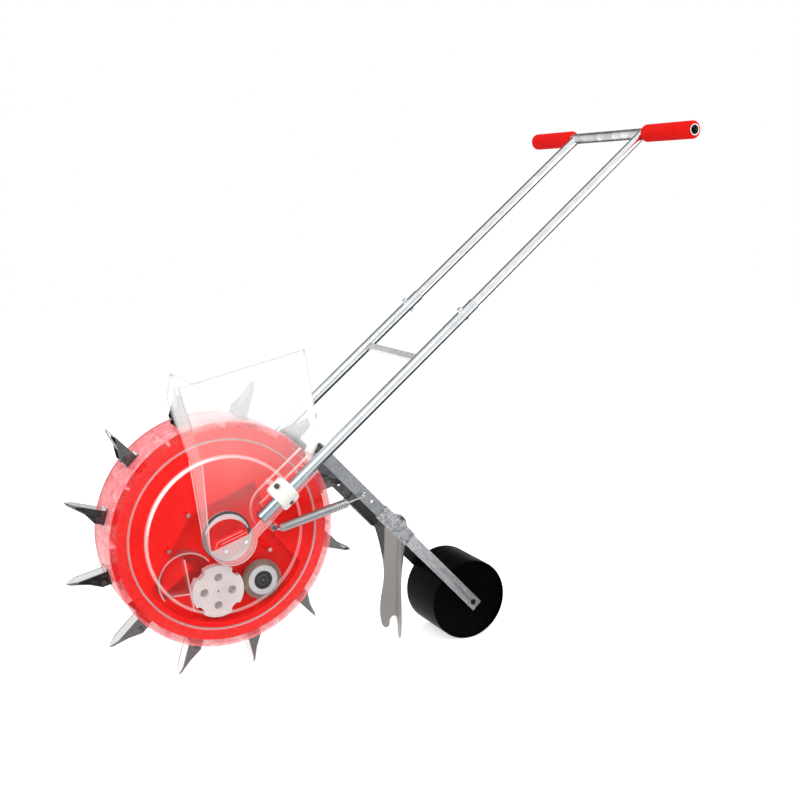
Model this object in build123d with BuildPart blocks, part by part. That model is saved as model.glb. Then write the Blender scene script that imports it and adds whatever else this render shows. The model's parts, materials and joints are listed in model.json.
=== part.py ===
from build123d import *
import math
import os

# Walk-behind seed planter: a spiked drum with a hopper and a seed metering train on its near side,
# a two-tube handle, and a trailing arm with a soil-covering plate and a press roller.
# Millimetres. +X points rearwards to the handle, +Y along the drum's axis to the far side, +Z up.
# The planter stands on two duckbill tips and on its roller, at Z = 0.

# Drum
DUCKBILLS = 12
TIP_RADIUS = 290.0
DRUM_RADIUS = 215.0
DRUM_WIDTH = 114.0
FLANGE_THICKNESS = 3.0
FLANGE_RIB_WIDTH = 1.6
FLANGE_RIB_HEIGHT = 1.0
SEAM_GAP = 0.3
DISC_THICKNESS = 4.0
RING_OUTER = 202.0
RING_INNER = 181.0
RING_WALL = 3.0
PARTITION_WALL = 3.0
POCKET_FRONT = 2.0
SEGMENT_WALL = 2.5
SEGMENT_GAP = 0.6
SEGMENT_WEB = 2.0
INLET_WIDTH = 34.0
INLET_NEAR = -44.0
INLET_FAR = -30.0
DISC_STEP_RADIUS = 150.0
DISC_STEP_DEPTH = 2.0
DISC_RIBS = 12
DISC_RIB_WIDTH = 5.0

# Duckbills: a fixed trough blade and a hinged flap, in radial and tangential lengths
BLADE_THICKNESS = 2.0
BLADE_HALF_WIDTH = 18.0
SHOULDER_RADIUS = 270.0
TIP_NOSE = 4.0
CHEEK_THICKNESS = 2.0
HINGE_RADIUS = 228.0
HINGE_SIDE = 16.0
HINGE_PIN_RADIUS = 2.0
PIN_HEAD_RADIUS = 4.6
PIN_HEAD = 1.8
CHEEK_LIP = 8.0
FOOT_THICKNESS = 2.0
FOOT_FRONT = 5.0
FOOT_BACK = 25.0
FOOT_HALF_WIDTH = 20.0
SPOUT_WALL = 2.5
SPOUT_FRONT = 2.0
SPOUT_BACK = 20.0
SPOUT_HALF_WIDTH = 14.0
SPOUT_SET_IN = 1.0
FLAP_THICKNESS = 2.0
FLAP_SIDE_GAP = 0.5
FLAP_TIP_RADIUS = 285.0
FLAP_TIP_SIDE = 2.3
FLAP_POINT = 30.0
KNUCKLE_RADIUS = 4.2
LEVER_LENGTH = 8.0
LEVER_HALF_WIDTH = 6.0
LEVER_THICKNESS = 3.0
RUNNING_FIT = 0.06
SLIDING_GAP = 0.4
SEAT_GAP = 0.05

# Metering train: module and teeth fix the places of the two shafts
GEAR_MODULE = 3.0
RING_TEETH = 111
METER_TEETH = 37
BRUSH_TEETH = 26
TOOTH_ADDENDUM = 0.8
TOOTH_DEDENDUM = 1.15
TOOTH_FILL = 0.40
TOOTH_TIP_SHARE = 0.25
TOOTH_ROOT_SHARE = 0.75
GEAR_NEAR = -18.5
GEAR_WIDTH = 15.0
PINION_WIDTH = 6.0
PINION_GAP = 1.0
PINION_SETBACK = 0.5
METER_ANGLE = -95.4
BRUSH_ANGLE = -51.9
METER_RADIUS = 50.0
METER_WIDTH = 17.0
METER_STEP = 1.5
METER_CAP = 3.0
METER_PILOT = 1.8
METER_CELLS = 4
CELL_WIDTH = 20.0
CELL_DEPTH = 7.0
METER_HOLE_CIRCLE = 27.0
METER_HOLE_RADIUS = 8.0
METER_HOLE_FLOOR = 3.0
SHAFT_RADIUS = 4.0
BRUSH_RADIUS = 38.8
BRISTLE_ROOT = 29.0
BRISTLE_ROWS = 6
BRISTLES_ROUND = 54
BRISTLE_SIZE = 1.3
BRISTLE_SINK = 0.8
BRUSH_CORE = 26.0
BRUSH_FLANGE = 28.5
BRUSH_FLANGE_THICKNESS = 2.0
BRUSH_HUB = 18.0
HUB_GROOVE_INNER = 9.0
HUB_GROOVE_OUTER = 11.5
HUB_GROOVE_DEPTH = 1.2
BRUSH_NEAR = -45.0
BRUSH_WIDTH = 15.5

# Seed housing and the clear cover in front of it
HOUSING_RADIUS = 178.5
HOUSING_WALL = 3.0
HOUSING_DEPTH = 34.0
CHAMBER_RADIUS = 168.0
CHAMBER_LEFT = ((-66.0, 42.0), (-101.0, -18.0))
CHAMBER_RIGHT = ((98.0, -12.0), (58.0, 96.0))
CHAMBER_FROM = 213.0
CHAMBER_TO = 335.0
COVER_RADIUS = 181.5
COVER_RUNNING_GAP = 1.0
COVER_THICKNESS = 3.0
PLATEAU_RADIUS = 152.0
PLATEAU_HEIGHT = 9.0
PLATEAU_ROUND = 8.0
PORT_RADIUS = 47.5
COVER_SCREWS = ((-73.0, 47.0), (-109.0, -16.0), (84.0, -35.0))
SCREW_POST_RADIUS = 5.0
SCREW_HEAD_RADIUS = 3.8
SCREW_HEAD = 2.4
SCREW_SHANK_RADIUS = 1.9
DROP_CENTRE = (-71.0, -82.0)
DROP_RADIUS = 53.0
DROP_WALL = 2.5
DROP_FROM = 40.0
DROP_TO = 216.0
DROP_NEAR = -50.0
PARTITION_TOP = (-76.0, -40.0)
PARTITION_FOOT = (-58.0, -142.0)
DROP_RIB_LENGTH = 34.0
DROP_RIB_SHARE = 0.66
SEED_OUTLET_ANGLE = 236.0
SEED_OUTLET_WIDTH = 40.0

# Axle and far bracket
AXLE_RADIUS = 10.0
AXLE_BOSS_RADIUS = 22.0
AXLE_BOSS_BACK = 8.0
BUSH_RADIUS = 16.0
BUSH_LENGTH = 26.0
HUB_WALL = 8.0
BRACKET_THICKNESS = 7.0
BRACKET_HUB = 44.0
BRACKET_RUNNING_GAP = 1.5
AXLE_NUT_ACROSS = 30.0
AXLE_NUT = 12.0
AXLE_END = 4.0

# Hopper, in the drum's side view
HOPPER_WALL = 2.5
HOPPER_FRONT = 104.0
HOPPER_FRONT_CORNERS = ((-57.0, 148.0), (-90.0, 262.0), (-97.0, 286.0), (-60.0, 295.5), (136.0, 345.0))
HOPPER_BACK_CORNERS = ((-70.0, 148.0), (-108.0, 262.0), (-102.0, 307.0), (-63.0, 286.0), (145.0, 300.0))
HOPPER_SHOULDER = (166.0, 195.0)
HOPPER_LOBE = (165.0, 171.0)
HOPPER_HIP = (155.0, 150.0)
HOPPER_BOTTOM_RADIUS = 45.0
HOPPER_ARM_OFFSET = 28.0
HOPPER_ARM_END_OFFSET = 21.0
HOPPER_ARM_LENGTH = 200.0
HOPPER_PORT_RADIUS = 37.0
HOPPER_OPENING_RISE = 40.0
CRADLE_CENTRE = (96.0, -6.0)
CRADLE_ROUND = 45.0
CRADLE_SWEEP = 110.0
CRADLE_END = 205.0
CRADLE_RAIL = 17.5
CRADLE_RIBS = (81.0, 169.0, 185.0, 204.0)
CRADLE_WALL = 2.0
CRADLE_HEIGHT = 6.0
CRADLE_TUBE_GAP = 0.6
SEAL_INNER = 38.0
SEAL_OUTER = 47.0
SEAL_THICKNESS = 3.0
GATE_TILT = 20.0
GATE_DROP = 8.0
GATE_THICKNESS = 3.0
GATE_NEAR = -84.0
GATE_SCREW_SPAN = 41.0
GATE_SCREW_DROP = 19.0
GATE_SCREW_SHIFT = 5.0
GATE_POST_RADIUS = 4.5
GATE_RIBS = (-3.0, 5.0, 13.0)
GATE_RIB_TOP = -13.0
GATE_RIB_LENGTH = 20.0
GATE_RIB_WIDTH = 2.0
GATE_RIB_HEIGHT = 2.0
CHUTE_LENGTH = 70.0
CHUTE_HEIGHT = 12.0
CHUTE_LIP = 4.0

# Handle
HANDLE_ANGLE = 41.1
TUBE_OFFSET = 116.0
LOWER_TUBE_RADIUS = 11.1
UPPER_TUBE_RADIUS = 9.8
TUBE_WALL = 1.2
TUBE_START = 63.0
LOWER_TUBE_END = 644.0
UPPER_TUBE_START = 560.0
HANDLE_LENGTH = 1158.5
BAR_RADIUS = 11.0
BAR_WALL = 1.6
BAR_LENGTH = 545.0
GRIP_RADIUS = 17.5
GRIP_ROUND = 7.0
GRIP_RECESS = 2.0
GRIP_GAP = 1.7
BRACE_AT = 486.0
BRACE_WIDTH = 14.0
BRACE_HEIGHT = 10.0
BRACE_WALL = 2.0
COUPLING_AT = 612.0
BOLT_RADIUS = 3.0
BOLT_HEAD_ACROSS = 10.0
BOLT_HEAD = 4.5
CLAMP_AT = 124.0
CLAMP_LENGTH = 38.0
CLAMP_WIDTH = 57.0
CLAMP_EAR = 9.0
CLAMP_HUMP = 16.5
CLAMP_ROUND = 3.0
CLAMP_CORNER = 9.0
CLAMP_COUNTERBORE = 5.6
CLAMP_SCREW_SPAN = 43.4
CLAMP_SCREW_RADIUS = 2.5
CLAMP_SCREW_HEAD_RADIUS = 4.6
CLAMP_SCREW_LENGTH = 18.0

# Trailing arm, measured from its pivot along and across the arm
PIVOT_AT = 232.5
ARM_LENGTH = 495.0
ARM_OFFSET = 77.0
ARM_WIDTH = 25.0
ARM_THICKNESS = 3.0
PLATE_LENGTH = 268.0
BAR_OVERLAP = 72.0
BAR_TAIL = 14.0
SLEEVE_OVERLAP = 77.0
SLEEVE_LENGTH = 90.0
SLEEVE_WALL = 2.0
SLEEVE_FIT = 0.15
EAR_SETBACK = 33.0
EAR_WIDTH = 46.0
EAR_TOP_WIDTH = 15.0
EAR_HEIGHT = 8.0
EAR_BOLT_RADIUS = 2.0
EAR_BOLT_ACROSS = 7.0
EAR_BOLT_HEAD = 2.5
EAR_BOLT_TAIL = 1.5
SPRING_HOLE_AT = 137.0
SPARE_HOLE_AT = 160.0
ARM_HOLE_RADIUS = 3.5
SLEEVE_HOLE_RADIUS = 2.2
STUD_RADIUS = 8.0
PIVOT_PIN_RADIUS = 4.0
PIVOT_NUT_ACROSS = 13.0
PIVOT_NUT = 5.0
ROLLER_RADIUS = 83.5
ROLLER_WIDTH = 124.0
ROLLER_WALL = 4.0
ROLLER_ROUND = 2.5
CAP_RECESS = 3.0
CAP_THICKNESS = 5.0
CAP_HUB_RADIUS = 14.0
ROLLER_AXLE_RADIUS = 6.0
THRUST_GAP = 0.3

# Covering plate: two wings swept forwards from a fold, heights below the drum's axis
FORK_FOLD_X = 388.0
FORK_SWEEP = 15.0
FORK_THICKNESS = 2.0
FORK_TOP = -50.0
FORK_NECK = (50.0, -100.0)
FORK_WAIST = (39.0, -155.0)
FORK_HIP = (47.0, -205.0)
FORK_PRONG_OUTER = 45.0
FORK_PRONG_INNER = 21.0
FORK_TIP = -266.0
FORK_NOTCH_TOP = -232.0
FORK_EAR_FROM = 214.0
FORK_EAR_TO = 284.0
FORK_EAR_HEIGHT = 22.0

# Tension spring between the cover's post and the trailing arm
POST_AT = (84.5, 13.5)
POST_RADIUS = 8.0
POST_HEIGHT = 18.0
SPRING_Y = -90.0
SPRING_WIRE = 1.6
SPRING_COIL = 7.6
SPRING_PITCH = 3.75
SPRING_TURNS = 36
HOOK_RADIUS = 5.0
HOOK_SWEEP = 250.0
HOOK_LEAD = 6.5
HOOK_BEND = 4.5
SPRING_SCREW_RADIUS = 3.0
SPRING_SCREW_HEAD_RADIUS = 4.8
SPRING_SCREW_HEAD = 3.0

# Places that follow from the sizes above
NEAR = -DRUM_WIDTH / 2
FAR = DRUM_WIDTH / 2
HALF_PITCH = 180.0 / DUCKBILLS
TIP_ANGLES = [HALF_PITCH + 2 * HALF_PITCH * index for index in range(DUCKBILLS)]
REACH = (
    TIP_RADIUS * math.cos(math.radians(HALF_PITCH))
    + BLADE_THICKNESS / 2 * math.sin(math.radians(HALF_PITCH))
)
HANDLE_COS = math.cos(math.radians(HANDLE_ANGLE))
HANDLE_SIN = math.sin(math.radians(HANDLE_ANGLE))
DRUM_X = (REACH - HANDLE_LENGTH * HANDLE_COS - GRIP_RADIUS) / 2
DRUM_Z = REACH
DRUM_CENTRE = Vector(DRUM_X, 0, DRUM_Z)
DRUM_AXIS = Axis(DRUM_CENTRE, (0, 1, 0))
RING_NEAR = NEAR + FLANGE_THICKNESS
RING_FRONT = RING_NEAR + SEAM_GAP
RING_FAR = FAR - DISC_THICKNESS
COVER_BACK = NEAR + COVER_THICKNESS
HOUSING_NEAR = COVER_BACK + SEAM_GAP
FLOOR_BACK = HOUSING_NEAR + HOUSING_DEPTH
FLOOR_FRONT = FLOOR_BACK - HOUSING_WALL
PLATEAU = NEAR - PLATEAU_HEIGHT
HOPPER_BACK = PLATEAU
CLAMP_SEAT = -HOPPER_FRONT
METER_DISTANCE = GEAR_MODULE * (RING_TEETH - METER_TEETH) / 2
BRUSH_DISTANCE = GEAR_MODULE * (RING_TEETH - BRUSH_TEETH) / 2
METER_NEAR = BRUSH_NEAR - METER_STEP
METER_PINION_NEAR = GEAR_NEAR + PINION_SETBACK
BRUSH_PINION_NEAR = METER_PINION_NEAR + PINION_WIDTH + PINION_GAP
PIVOT_X = PIVOT_AT * HANDLE_COS
PIVOT_Z = PIVOT_AT * HANDLE_SIN
ARM_ANGLE = -math.degrees(math.asin((PIVOT_Z + DRUM_Z - ROLLER_RADIUS) / ARM_LENGTH))
ARM_COS = math.cos(math.radians(ARM_ANGLE))
ARM_SIN = math.sin(math.radians(ARM_ANGLE))
GRIP_LENGTH = BAR_LENGTH / 2 - GRIP_RECESS - TUBE_OFFSET - UPPER_TUBE_RADIUS - GRIP_GAP
BAR_START = PLATE_LENGTH - BAR_OVERLAP
SLEEVE_START = PLATE_LENGTH - SLEEVE_OVERLAP
EAR_AT = PLATE_LENGTH - EAR_SETBACK
PLATE_OUTER = -ARM_OFFSET - ARM_THICKNESS
BAR_INNER = -ARM_OFFSET + ARM_THICKNESS

os.makedirs("parts", exist_ok=True)


def side_plane(y, x=0.0, z=0.0, turn=0.0):
    """Side view at depth y: local x turned from +X by turn degrees, local y upwards, normal to -Y."""
    angle = math.radians(turn)
    return Plane(
        origin=(DRUM_X + x, y, DRUM_Z + z),
        x_dir=(math.cos(angle), 0, math.sin(angle)),
        z_dir=(0, -1, 0),
    )


def blade_plane(angle, side=0.0):
    """Plane of a duckbill's back plate: local x radial, local y along +Y, normal tangential."""
    turn = math.radians(angle)
    radial = Vector(math.cos(turn), 0, math.sin(turn))
    tangent = Vector(-math.sin(turn), 0, math.cos(turn))
    return Plane(origin=DRUM_CENTRE + tangent * side, x_dir=radial, z_dir=tangent)


def arm_plane(y):
    """Side view of the trailing arm: local x along the arm from its pivot, local y across it."""
    return side_plane(y, PIVOT_X, PIVOT_Z, ARM_ANGLE)


def handle_plane(along, y=0.0):
    """Section across a handle tube, with its normal along the tube."""
    return Plane(
        origin=(DRUM_X + along * HANDLE_COS, y, DRUM_Z + along * HANDLE_SIN),
        x_dir=(0, 1, 0),
        z_dir=(HANDLE_COS, 0, HANDLE_SIN),
    )


def polar(radius, angle):
    """Side-view point at a radius and an angle from the drum's axis."""
    return (radius * math.cos(math.radians(angle)), radius * math.sin(math.radians(angle)))


def save(part, name):
    part.label = name
    export_step(part, f"parts/{name}.step")


def gear_outline(teeth, phase, internal=False):
    """Closed outline of straight-sided teeth on their pitch circle, with one tooth on the phase angle."""
    pitch_radius = GEAR_MODULE * teeth / 2
    outward = -1 if internal else 1
    tip = pitch_radius + outward * GEAR_MODULE * TOOTH_ADDENDUM
    root = pitch_radius - outward * GEAR_MODULE * TOOTH_DEDENDUM
    step = 360.0 / teeth
    half_tip = step * TOOTH_FILL * TOOTH_TIP_SHARE
    half_root = step * TOOTH_FILL * TOOTH_ROOT_SHARE
    points = []
    for tooth in range(teeth):
        centre = phase + tooth * step
        points.append(polar(root, centre - half_root))
        points.append(polar(tip, centre - half_tip))
        points.append(polar(tip, centre + half_tip))
        points.append(polar(root, centre + half_root))
    return points


# Drum pan: far disc, two ring walls with seed pockets between them, their front, spouts and hub
ring_length = RING_FAR - RING_FRONT
pocket_middle = (RING_INNER + RING_OUTER) / 2
spout_middle = (SPOUT_BACK - SPOUT_FRONT) / 2 + SPOUT_FRONT
spout_length = SPOUT_BACK - SPOUT_FRONT
spout_root = RING_OUTER - RING_WALL / 2
spout_top = DRUM_RADIUS - SPOUT_SET_IN
with BuildPart() as drum_pan:
    with BuildSketch(side_plane(FAR)):
        Circle(DRUM_RADIUS)
        Circle(BUSH_RADIUS, mode=Mode.SUBTRACT)
    extrude(amount=DISC_THICKNESS)
    with BuildSketch(side_plane(RING_FAR)):
        Circle(RING_OUTER)
        Circle(RING_OUTER - RING_WALL, mode=Mode.SUBTRACT)
    extrude(amount=ring_length)
    with BuildSketch(side_plane(RING_FAR)):
        Circle(RING_INNER + RING_WALL)
        Circle(RING_INNER, mode=Mode.SUBTRACT)
    extrude(amount=ring_length)
    with BuildSketch(side_plane(RING_FAR)):
        with PolarLocations(pocket_middle, DUCKBILLS):
            Rectangle(RING_OUTER - RING_INNER - RING_WALL, PARTITION_WALL)
    extrude(amount=ring_length)
    with BuildSketch(side_plane(RING_FRONT + POCKET_FRONT)):
        Circle(RING_OUTER)
        Circle(RING_INNER, mode=Mode.SUBTRACT)
    extrude(amount=POCKET_FRONT)
    with BuildSketch(side_plane(RING_FAR)):
        Circle(BUSH_RADIUS + HUB_WALL)
        Circle(BUSH_RADIUS, mode=Mode.SUBTRACT)
    extrude(amount=BUSH_LENGTH - DISC_THICKNESS)
    with BuildSketch(side_plane(SPOUT_HALF_WIDTH + SPOUT_WALL)):
        with PolarLocations(0, DUCKBILLS, start_angle=HALF_PITCH):
            with Locations(((spout_root + spout_top) / 2, spout_middle)):
                Rectangle(spout_top - spout_root, spout_length + 2 * SPOUT_WALL)
    extrude(amount=2 * (SPOUT_HALF_WIDTH + SPOUT_WALL))
    with BuildSketch(side_plane(SPOUT_HALF_WIDTH)):
        with PolarLocations(0, DUCKBILLS, start_angle=HALF_PITCH):
            with Locations((DRUM_RADIUS, spout_middle)):
                Rectangle(2 * (DRUM_RADIUS - pocket_middle), spout_length)
    extrude(amount=2 * SPOUT_HALF_WIDTH, mode=Mode.SUBTRACT)
    with BuildSketch(side_plane(INLET_FAR)):
        with PolarLocations(RING_INNER + RING_WALL / 2, DUCKBILLS, start_angle=HALF_PITCH):
            Rectangle(3 * RING_WALL, INLET_WIDTH)
    extrude(amount=INLET_FAR - INLET_NEAR, mode=Mode.SUBTRACT)
    with BuildSketch(side_plane(FAR)):
        Circle(DISC_STEP_RADIUS)
        Circle(BUSH_RADIUS + HUB_WALL, mode=Mode.SUBTRACT)
        with PolarLocations(DISC_STEP_RADIUS / 2, DISC_RIBS):
            Rectangle(DISC_STEP_RADIUS + HUB_WALL, DISC_RIB_WIDTH, mode=Mode.SUBTRACT)
    extrude(amount=DISC_STEP_DEPTH, mode=Mode.SUBTRACT)
save(drum_pan.part, "drum_pan")

# Clear ring over the pockets' front, with a round bead and twelve short ribs
with BuildPart() as drum_flange:
    with BuildSketch(side_plane(RING_NEAR)):
        Circle(DRUM_RADIUS)
        Circle(COVER_RADIUS + COVER_RUNNING_GAP, mode=Mode.SUBTRACT)
    extrude(amount=FLANGE_THICKNESS)
    with BuildSketch(side_plane(NEAR)):
        Circle(RING_OUTER)
        Circle(RING_OUTER - FLANGE_RIB_WIDTH, mode=Mode.SUBTRACT)
        with PolarLocations(pocket_middle, DUCKBILLS):
            Rectangle(RING_OUTER - RING_INNER - 2 * RING_WALL, FLANGE_RIB_WIDTH)
    extrude(amount=FLANGE_RIB_HEIGHT)
save(drum_flange.part, "drum_flange")

# Twelve clear rim segments, each a curved plate with a web at both ends and a window for its spout
with BuildPart() as rim_segments:
    with BuildSketch(side_plane(RING_FAR)):
        Circle(DRUM_RADIUS)
        Circle(DRUM_RADIUS - SEGMENT_WALL, mode=Mode.SUBTRACT)
        with PolarLocations((RING_OUTER + DRUM_RADIUS) / 2 - SEGMENT_WALL / 2, DUCKBILLS):
            Rectangle(DRUM_RADIUS - RING_OUTER - SEGMENT_WALL, SEGMENT_GAP + 2 * SEGMENT_WEB)
        Circle(RING_OUTER + SEAT_GAP, mode=Mode.SUBTRACT)
        with PolarLocations((RING_OUTER + DRUM_RADIUS) / 2, DUCKBILLS):
            Rectangle(2 * (DRUM_RADIUS - RING_OUTER), SEGMENT_GAP, mode=Mode.SUBTRACT)
    extrude(amount=RING_FAR - RING_NEAR)
    with BuildSketch(side_plane(SPOUT_HALF_WIDTH + SPOUT_WALL + SLIDING_GAP)):
        with PolarLocations(0, DUCKBILLS, start_angle=HALF_PITCH):
            with Locations((DRUM_RADIUS, spout_middle)):
                Rectangle(2 * (DRUM_RADIUS - RING_OUTER), spout_length + 2 * SPOUT_WALL + 2 * SLIDING_GAP)
    extrude(amount=2 * (SPOUT_HALF_WIDTH + SPOUT_WALL + SLIDING_GAP), mode=Mode.SUBTRACT)
save(rim_segments.part, "rim_segments")

# Internal gear inside the drum's ring, which turns both pinions
with BuildPart() as ring_gear:
    with BuildSketch(side_plane(GEAR_NEAR + GEAR_WIDTH)):
        Circle(RING_INNER)
        with BuildLine():
            Polyline(*gear_outline(RING_TEETH, METER_ANGLE, internal=True), close=True)
        make_face(mode=Mode.SUBTRACT)
    extrude(amount=GEAR_WIDTH)
save(ring_gear.part, "ring_gear")

with BuildPart() as drum_bush:
    with BuildSketch(side_plane(FAR)):
        Circle(BUSH_RADIUS)
        Circle(AXLE_RADIUS + RUNNING_FIT, mode=Mode.SUBTRACT)
    extrude(amount=BUSH_LENGTH)
save(drum_bush.part, "drum_bush")

# Fixed duckbill blades: a pointed back plate, two triangular cheeks and a foot on the drum's rim
cheek_corner = HINGE_RADIUS + CHEEK_LIP / 2
cheek_outer = HINGE_SIDE + CHEEK_LIP
blade_foot = DRUM_RADIUS + FOOT_THICKNESS / 2
nose_start = TIP_RADIUS - TIP_NOSE / 2
cheek_depths = (BLADE_HALF_WIDTH, CHEEK_THICKNESS - BLADE_HALF_WIDTH)
cheek_planes = [side_plane(depth, turn=angle) for angle in TIP_ANGLES for depth in cheek_depths]
with BuildPart() as duckbill_blades:
    with BuildSketch(*[blade_plane(angle, -BLADE_THICKNESS / 2) for angle in TIP_ANGLES]):
        with BuildLine():
            Polyline(
                (blade_foot, BLADE_HALF_WIDTH),
                (SHOULDER_RADIUS, BLADE_HALF_WIDTH),
                (nose_start, TIP_NOSE),
            )
            ThreePointArc((nose_start, TIP_NOSE), (TIP_RADIUS, 0), (nose_start, -TIP_NOSE))
            Polyline(
                (nose_start, -TIP_NOSE),
                (SHOULDER_RADIUS, -BLADE_HALF_WIDTH),
                (blade_foot, -BLADE_HALF_WIDTH),
                (blade_foot, BLADE_HALF_WIDTH),
            )
        make_face()
    extrude(amount=BLADE_THICKNESS)
    with BuildSketch(*cheek_planes):
        Polygon(
            (blade_foot, 0),
            (SHOULDER_RADIUS, 0),
            (cheek_corner, cheek_outer),
            (blade_foot, cheek_outer),
            align=None,
        )
        with Locations((HINGE_RADIUS, HINGE_SIDE)):
            Circle(HINGE_PIN_RADIUS + SEAT_GAP, mode=Mode.SUBTRACT)
    extrude(amount=CHEEK_THICKNESS)
    with BuildSketch(*[side_plane(FOOT_HALF_WIDTH, turn=angle) for angle in TIP_ANGLES]):
        with Locations((blade_foot, (FOOT_BACK - FOOT_FRONT) / 2)):
            Rectangle(FOOT_THICKNESS, FOOT_BACK + FOOT_FRONT)
    extrude(amount=2 * FOOT_HALF_WIDTH)
    with BuildSketch(*[side_plane(SPOUT_HALF_WIDTH, turn=angle) for angle in TIP_ANGLES]):
        with Locations((DRUM_RADIUS + FOOT_THICKNESS, spout_middle)):
            Rectangle(4 * FOOT_THICKNESS, spout_length)
    extrude(amount=2 * SPOUT_HALF_WIDTH, mode=Mode.SUBTRACT)
save(duckbill_blades.part, "duckbill_blades")

# Hinge pins through the cheeks, headed at both ends
pin_end = BLADE_HALF_WIDTH + PIN_HEAD
head_depths = (pin_end, -BLADE_HALF_WIDTH)
head_planes = [side_plane(depth, turn=angle) for angle in TIP_ANGLES for depth in head_depths]
with BuildPart() as flap_pins:
    with BuildSketch(*[side_plane(pin_end, turn=angle) for angle in TIP_ANGLES]):
        with Locations((HINGE_RADIUS, HINGE_SIDE)):
            Circle(HINGE_PIN_RADIUS)
    extrude(amount=2 * pin_end)
    with BuildSketch(*head_planes):
        with Locations((HINGE_RADIUS, HINGE_SIDE)):
            Circle(PIN_HEAD_RADIUS)
    extrude(amount=PIN_HEAD)
save(flap_pins.part, "flap_pins")

# Moving flaps: a pointed plate from the hinge to the blade's tip, with a knuckle and a short lever
flap_run = FLAP_TIP_RADIUS - HINGE_RADIUS
flap_fall = FLAP_TIP_SIDE - HINGE_SIDE
flap_length = math.hypot(flap_run, flap_fall)
flap_turn = math.degrees(math.atan2(flap_fall, flap_run))
flap_half_width = BLADE_HALF_WIDTH - CHEEK_THICKNESS - FLAP_SIDE_GAP
flap_shoulder = flap_length - FLAP_POINT
for index, angle in enumerate(TIP_ANGLES):
    hinge_x, hinge_z = polar(HINGE_RADIUS, angle)
    hinge_x -= HINGE_SIDE * math.sin(math.radians(angle))
    hinge_z += HINGE_SIDE * math.cos(math.radians(angle))
    plate_turn = math.radians(angle + flap_turn)
    plate_plane = Plane(
        origin=(DRUM_X + hinge_x, 0, DRUM_Z + hinge_z),
        x_dir=(math.cos(plate_turn), 0, math.sin(plate_turn)),
        z_dir=(-math.sin(plate_turn), 0, math.cos(plate_turn)),
    )
    with BuildPart() as flap:
        with BuildSketch(plate_plane):
            Polygon(
                (0, flap_half_width),
                (flap_shoulder, flap_half_width),
                (flap_length, TIP_NOSE),
                (flap_length, -TIP_NOSE),
                (flap_shoulder, -flap_half_width),
                (0, -flap_half_width),
                align=None,
            )
        extrude(amount=FLAP_THICKNESS / 2, both=True)
        with BuildSketch(side_plane(flap_half_width, hinge_x, hinge_z, angle)):
            Circle(KNUCKLE_RADIUS)
        extrude(amount=2 * flap_half_width)
        with BuildSketch(side_plane(LEVER_HALF_WIDTH, hinge_x, hinge_z, angle)):
            with Locations((0, (KNUCKLE_RADIUS + LEVER_LENGTH) / 2)):
                Rectangle(LEVER_THICKNESS, LEVER_LENGTH)
        extrude(amount=2 * LEVER_HALF_WIDTH)
        with BuildSketch(side_plane(flap_half_width, hinge_x, hinge_z, angle)):
            Circle(HINGE_PIN_RADIUS + RUNNING_FIT)
        extrude(amount=2 * flap_half_width, mode=Mode.SUBTRACT)
    save(flap.part, f"flap_{index + 1:02d}")

# Red seed housing: a face plate, a recessed chamber with the wheels, screw posts and the axle boss
def chamber_outline():
    """Chamber in side view: straight sides above, the housing's own curve below."""
    curve_start = polar(CHAMBER_RADIUS, CHAMBER_FROM)
    curve_middle = polar(CHAMBER_RADIUS, (CHAMBER_FROM + CHAMBER_TO) / 2)
    curve_end = polar(CHAMBER_RADIUS, CHAMBER_TO)
    Polyline(*CHAMBER_LEFT, curve_start)
    ThreePointArc(curve_start, curve_middle, curve_end)
    Polyline(curve_end, *CHAMBER_RIGHT, CHAMBER_LEFT[0])


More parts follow.
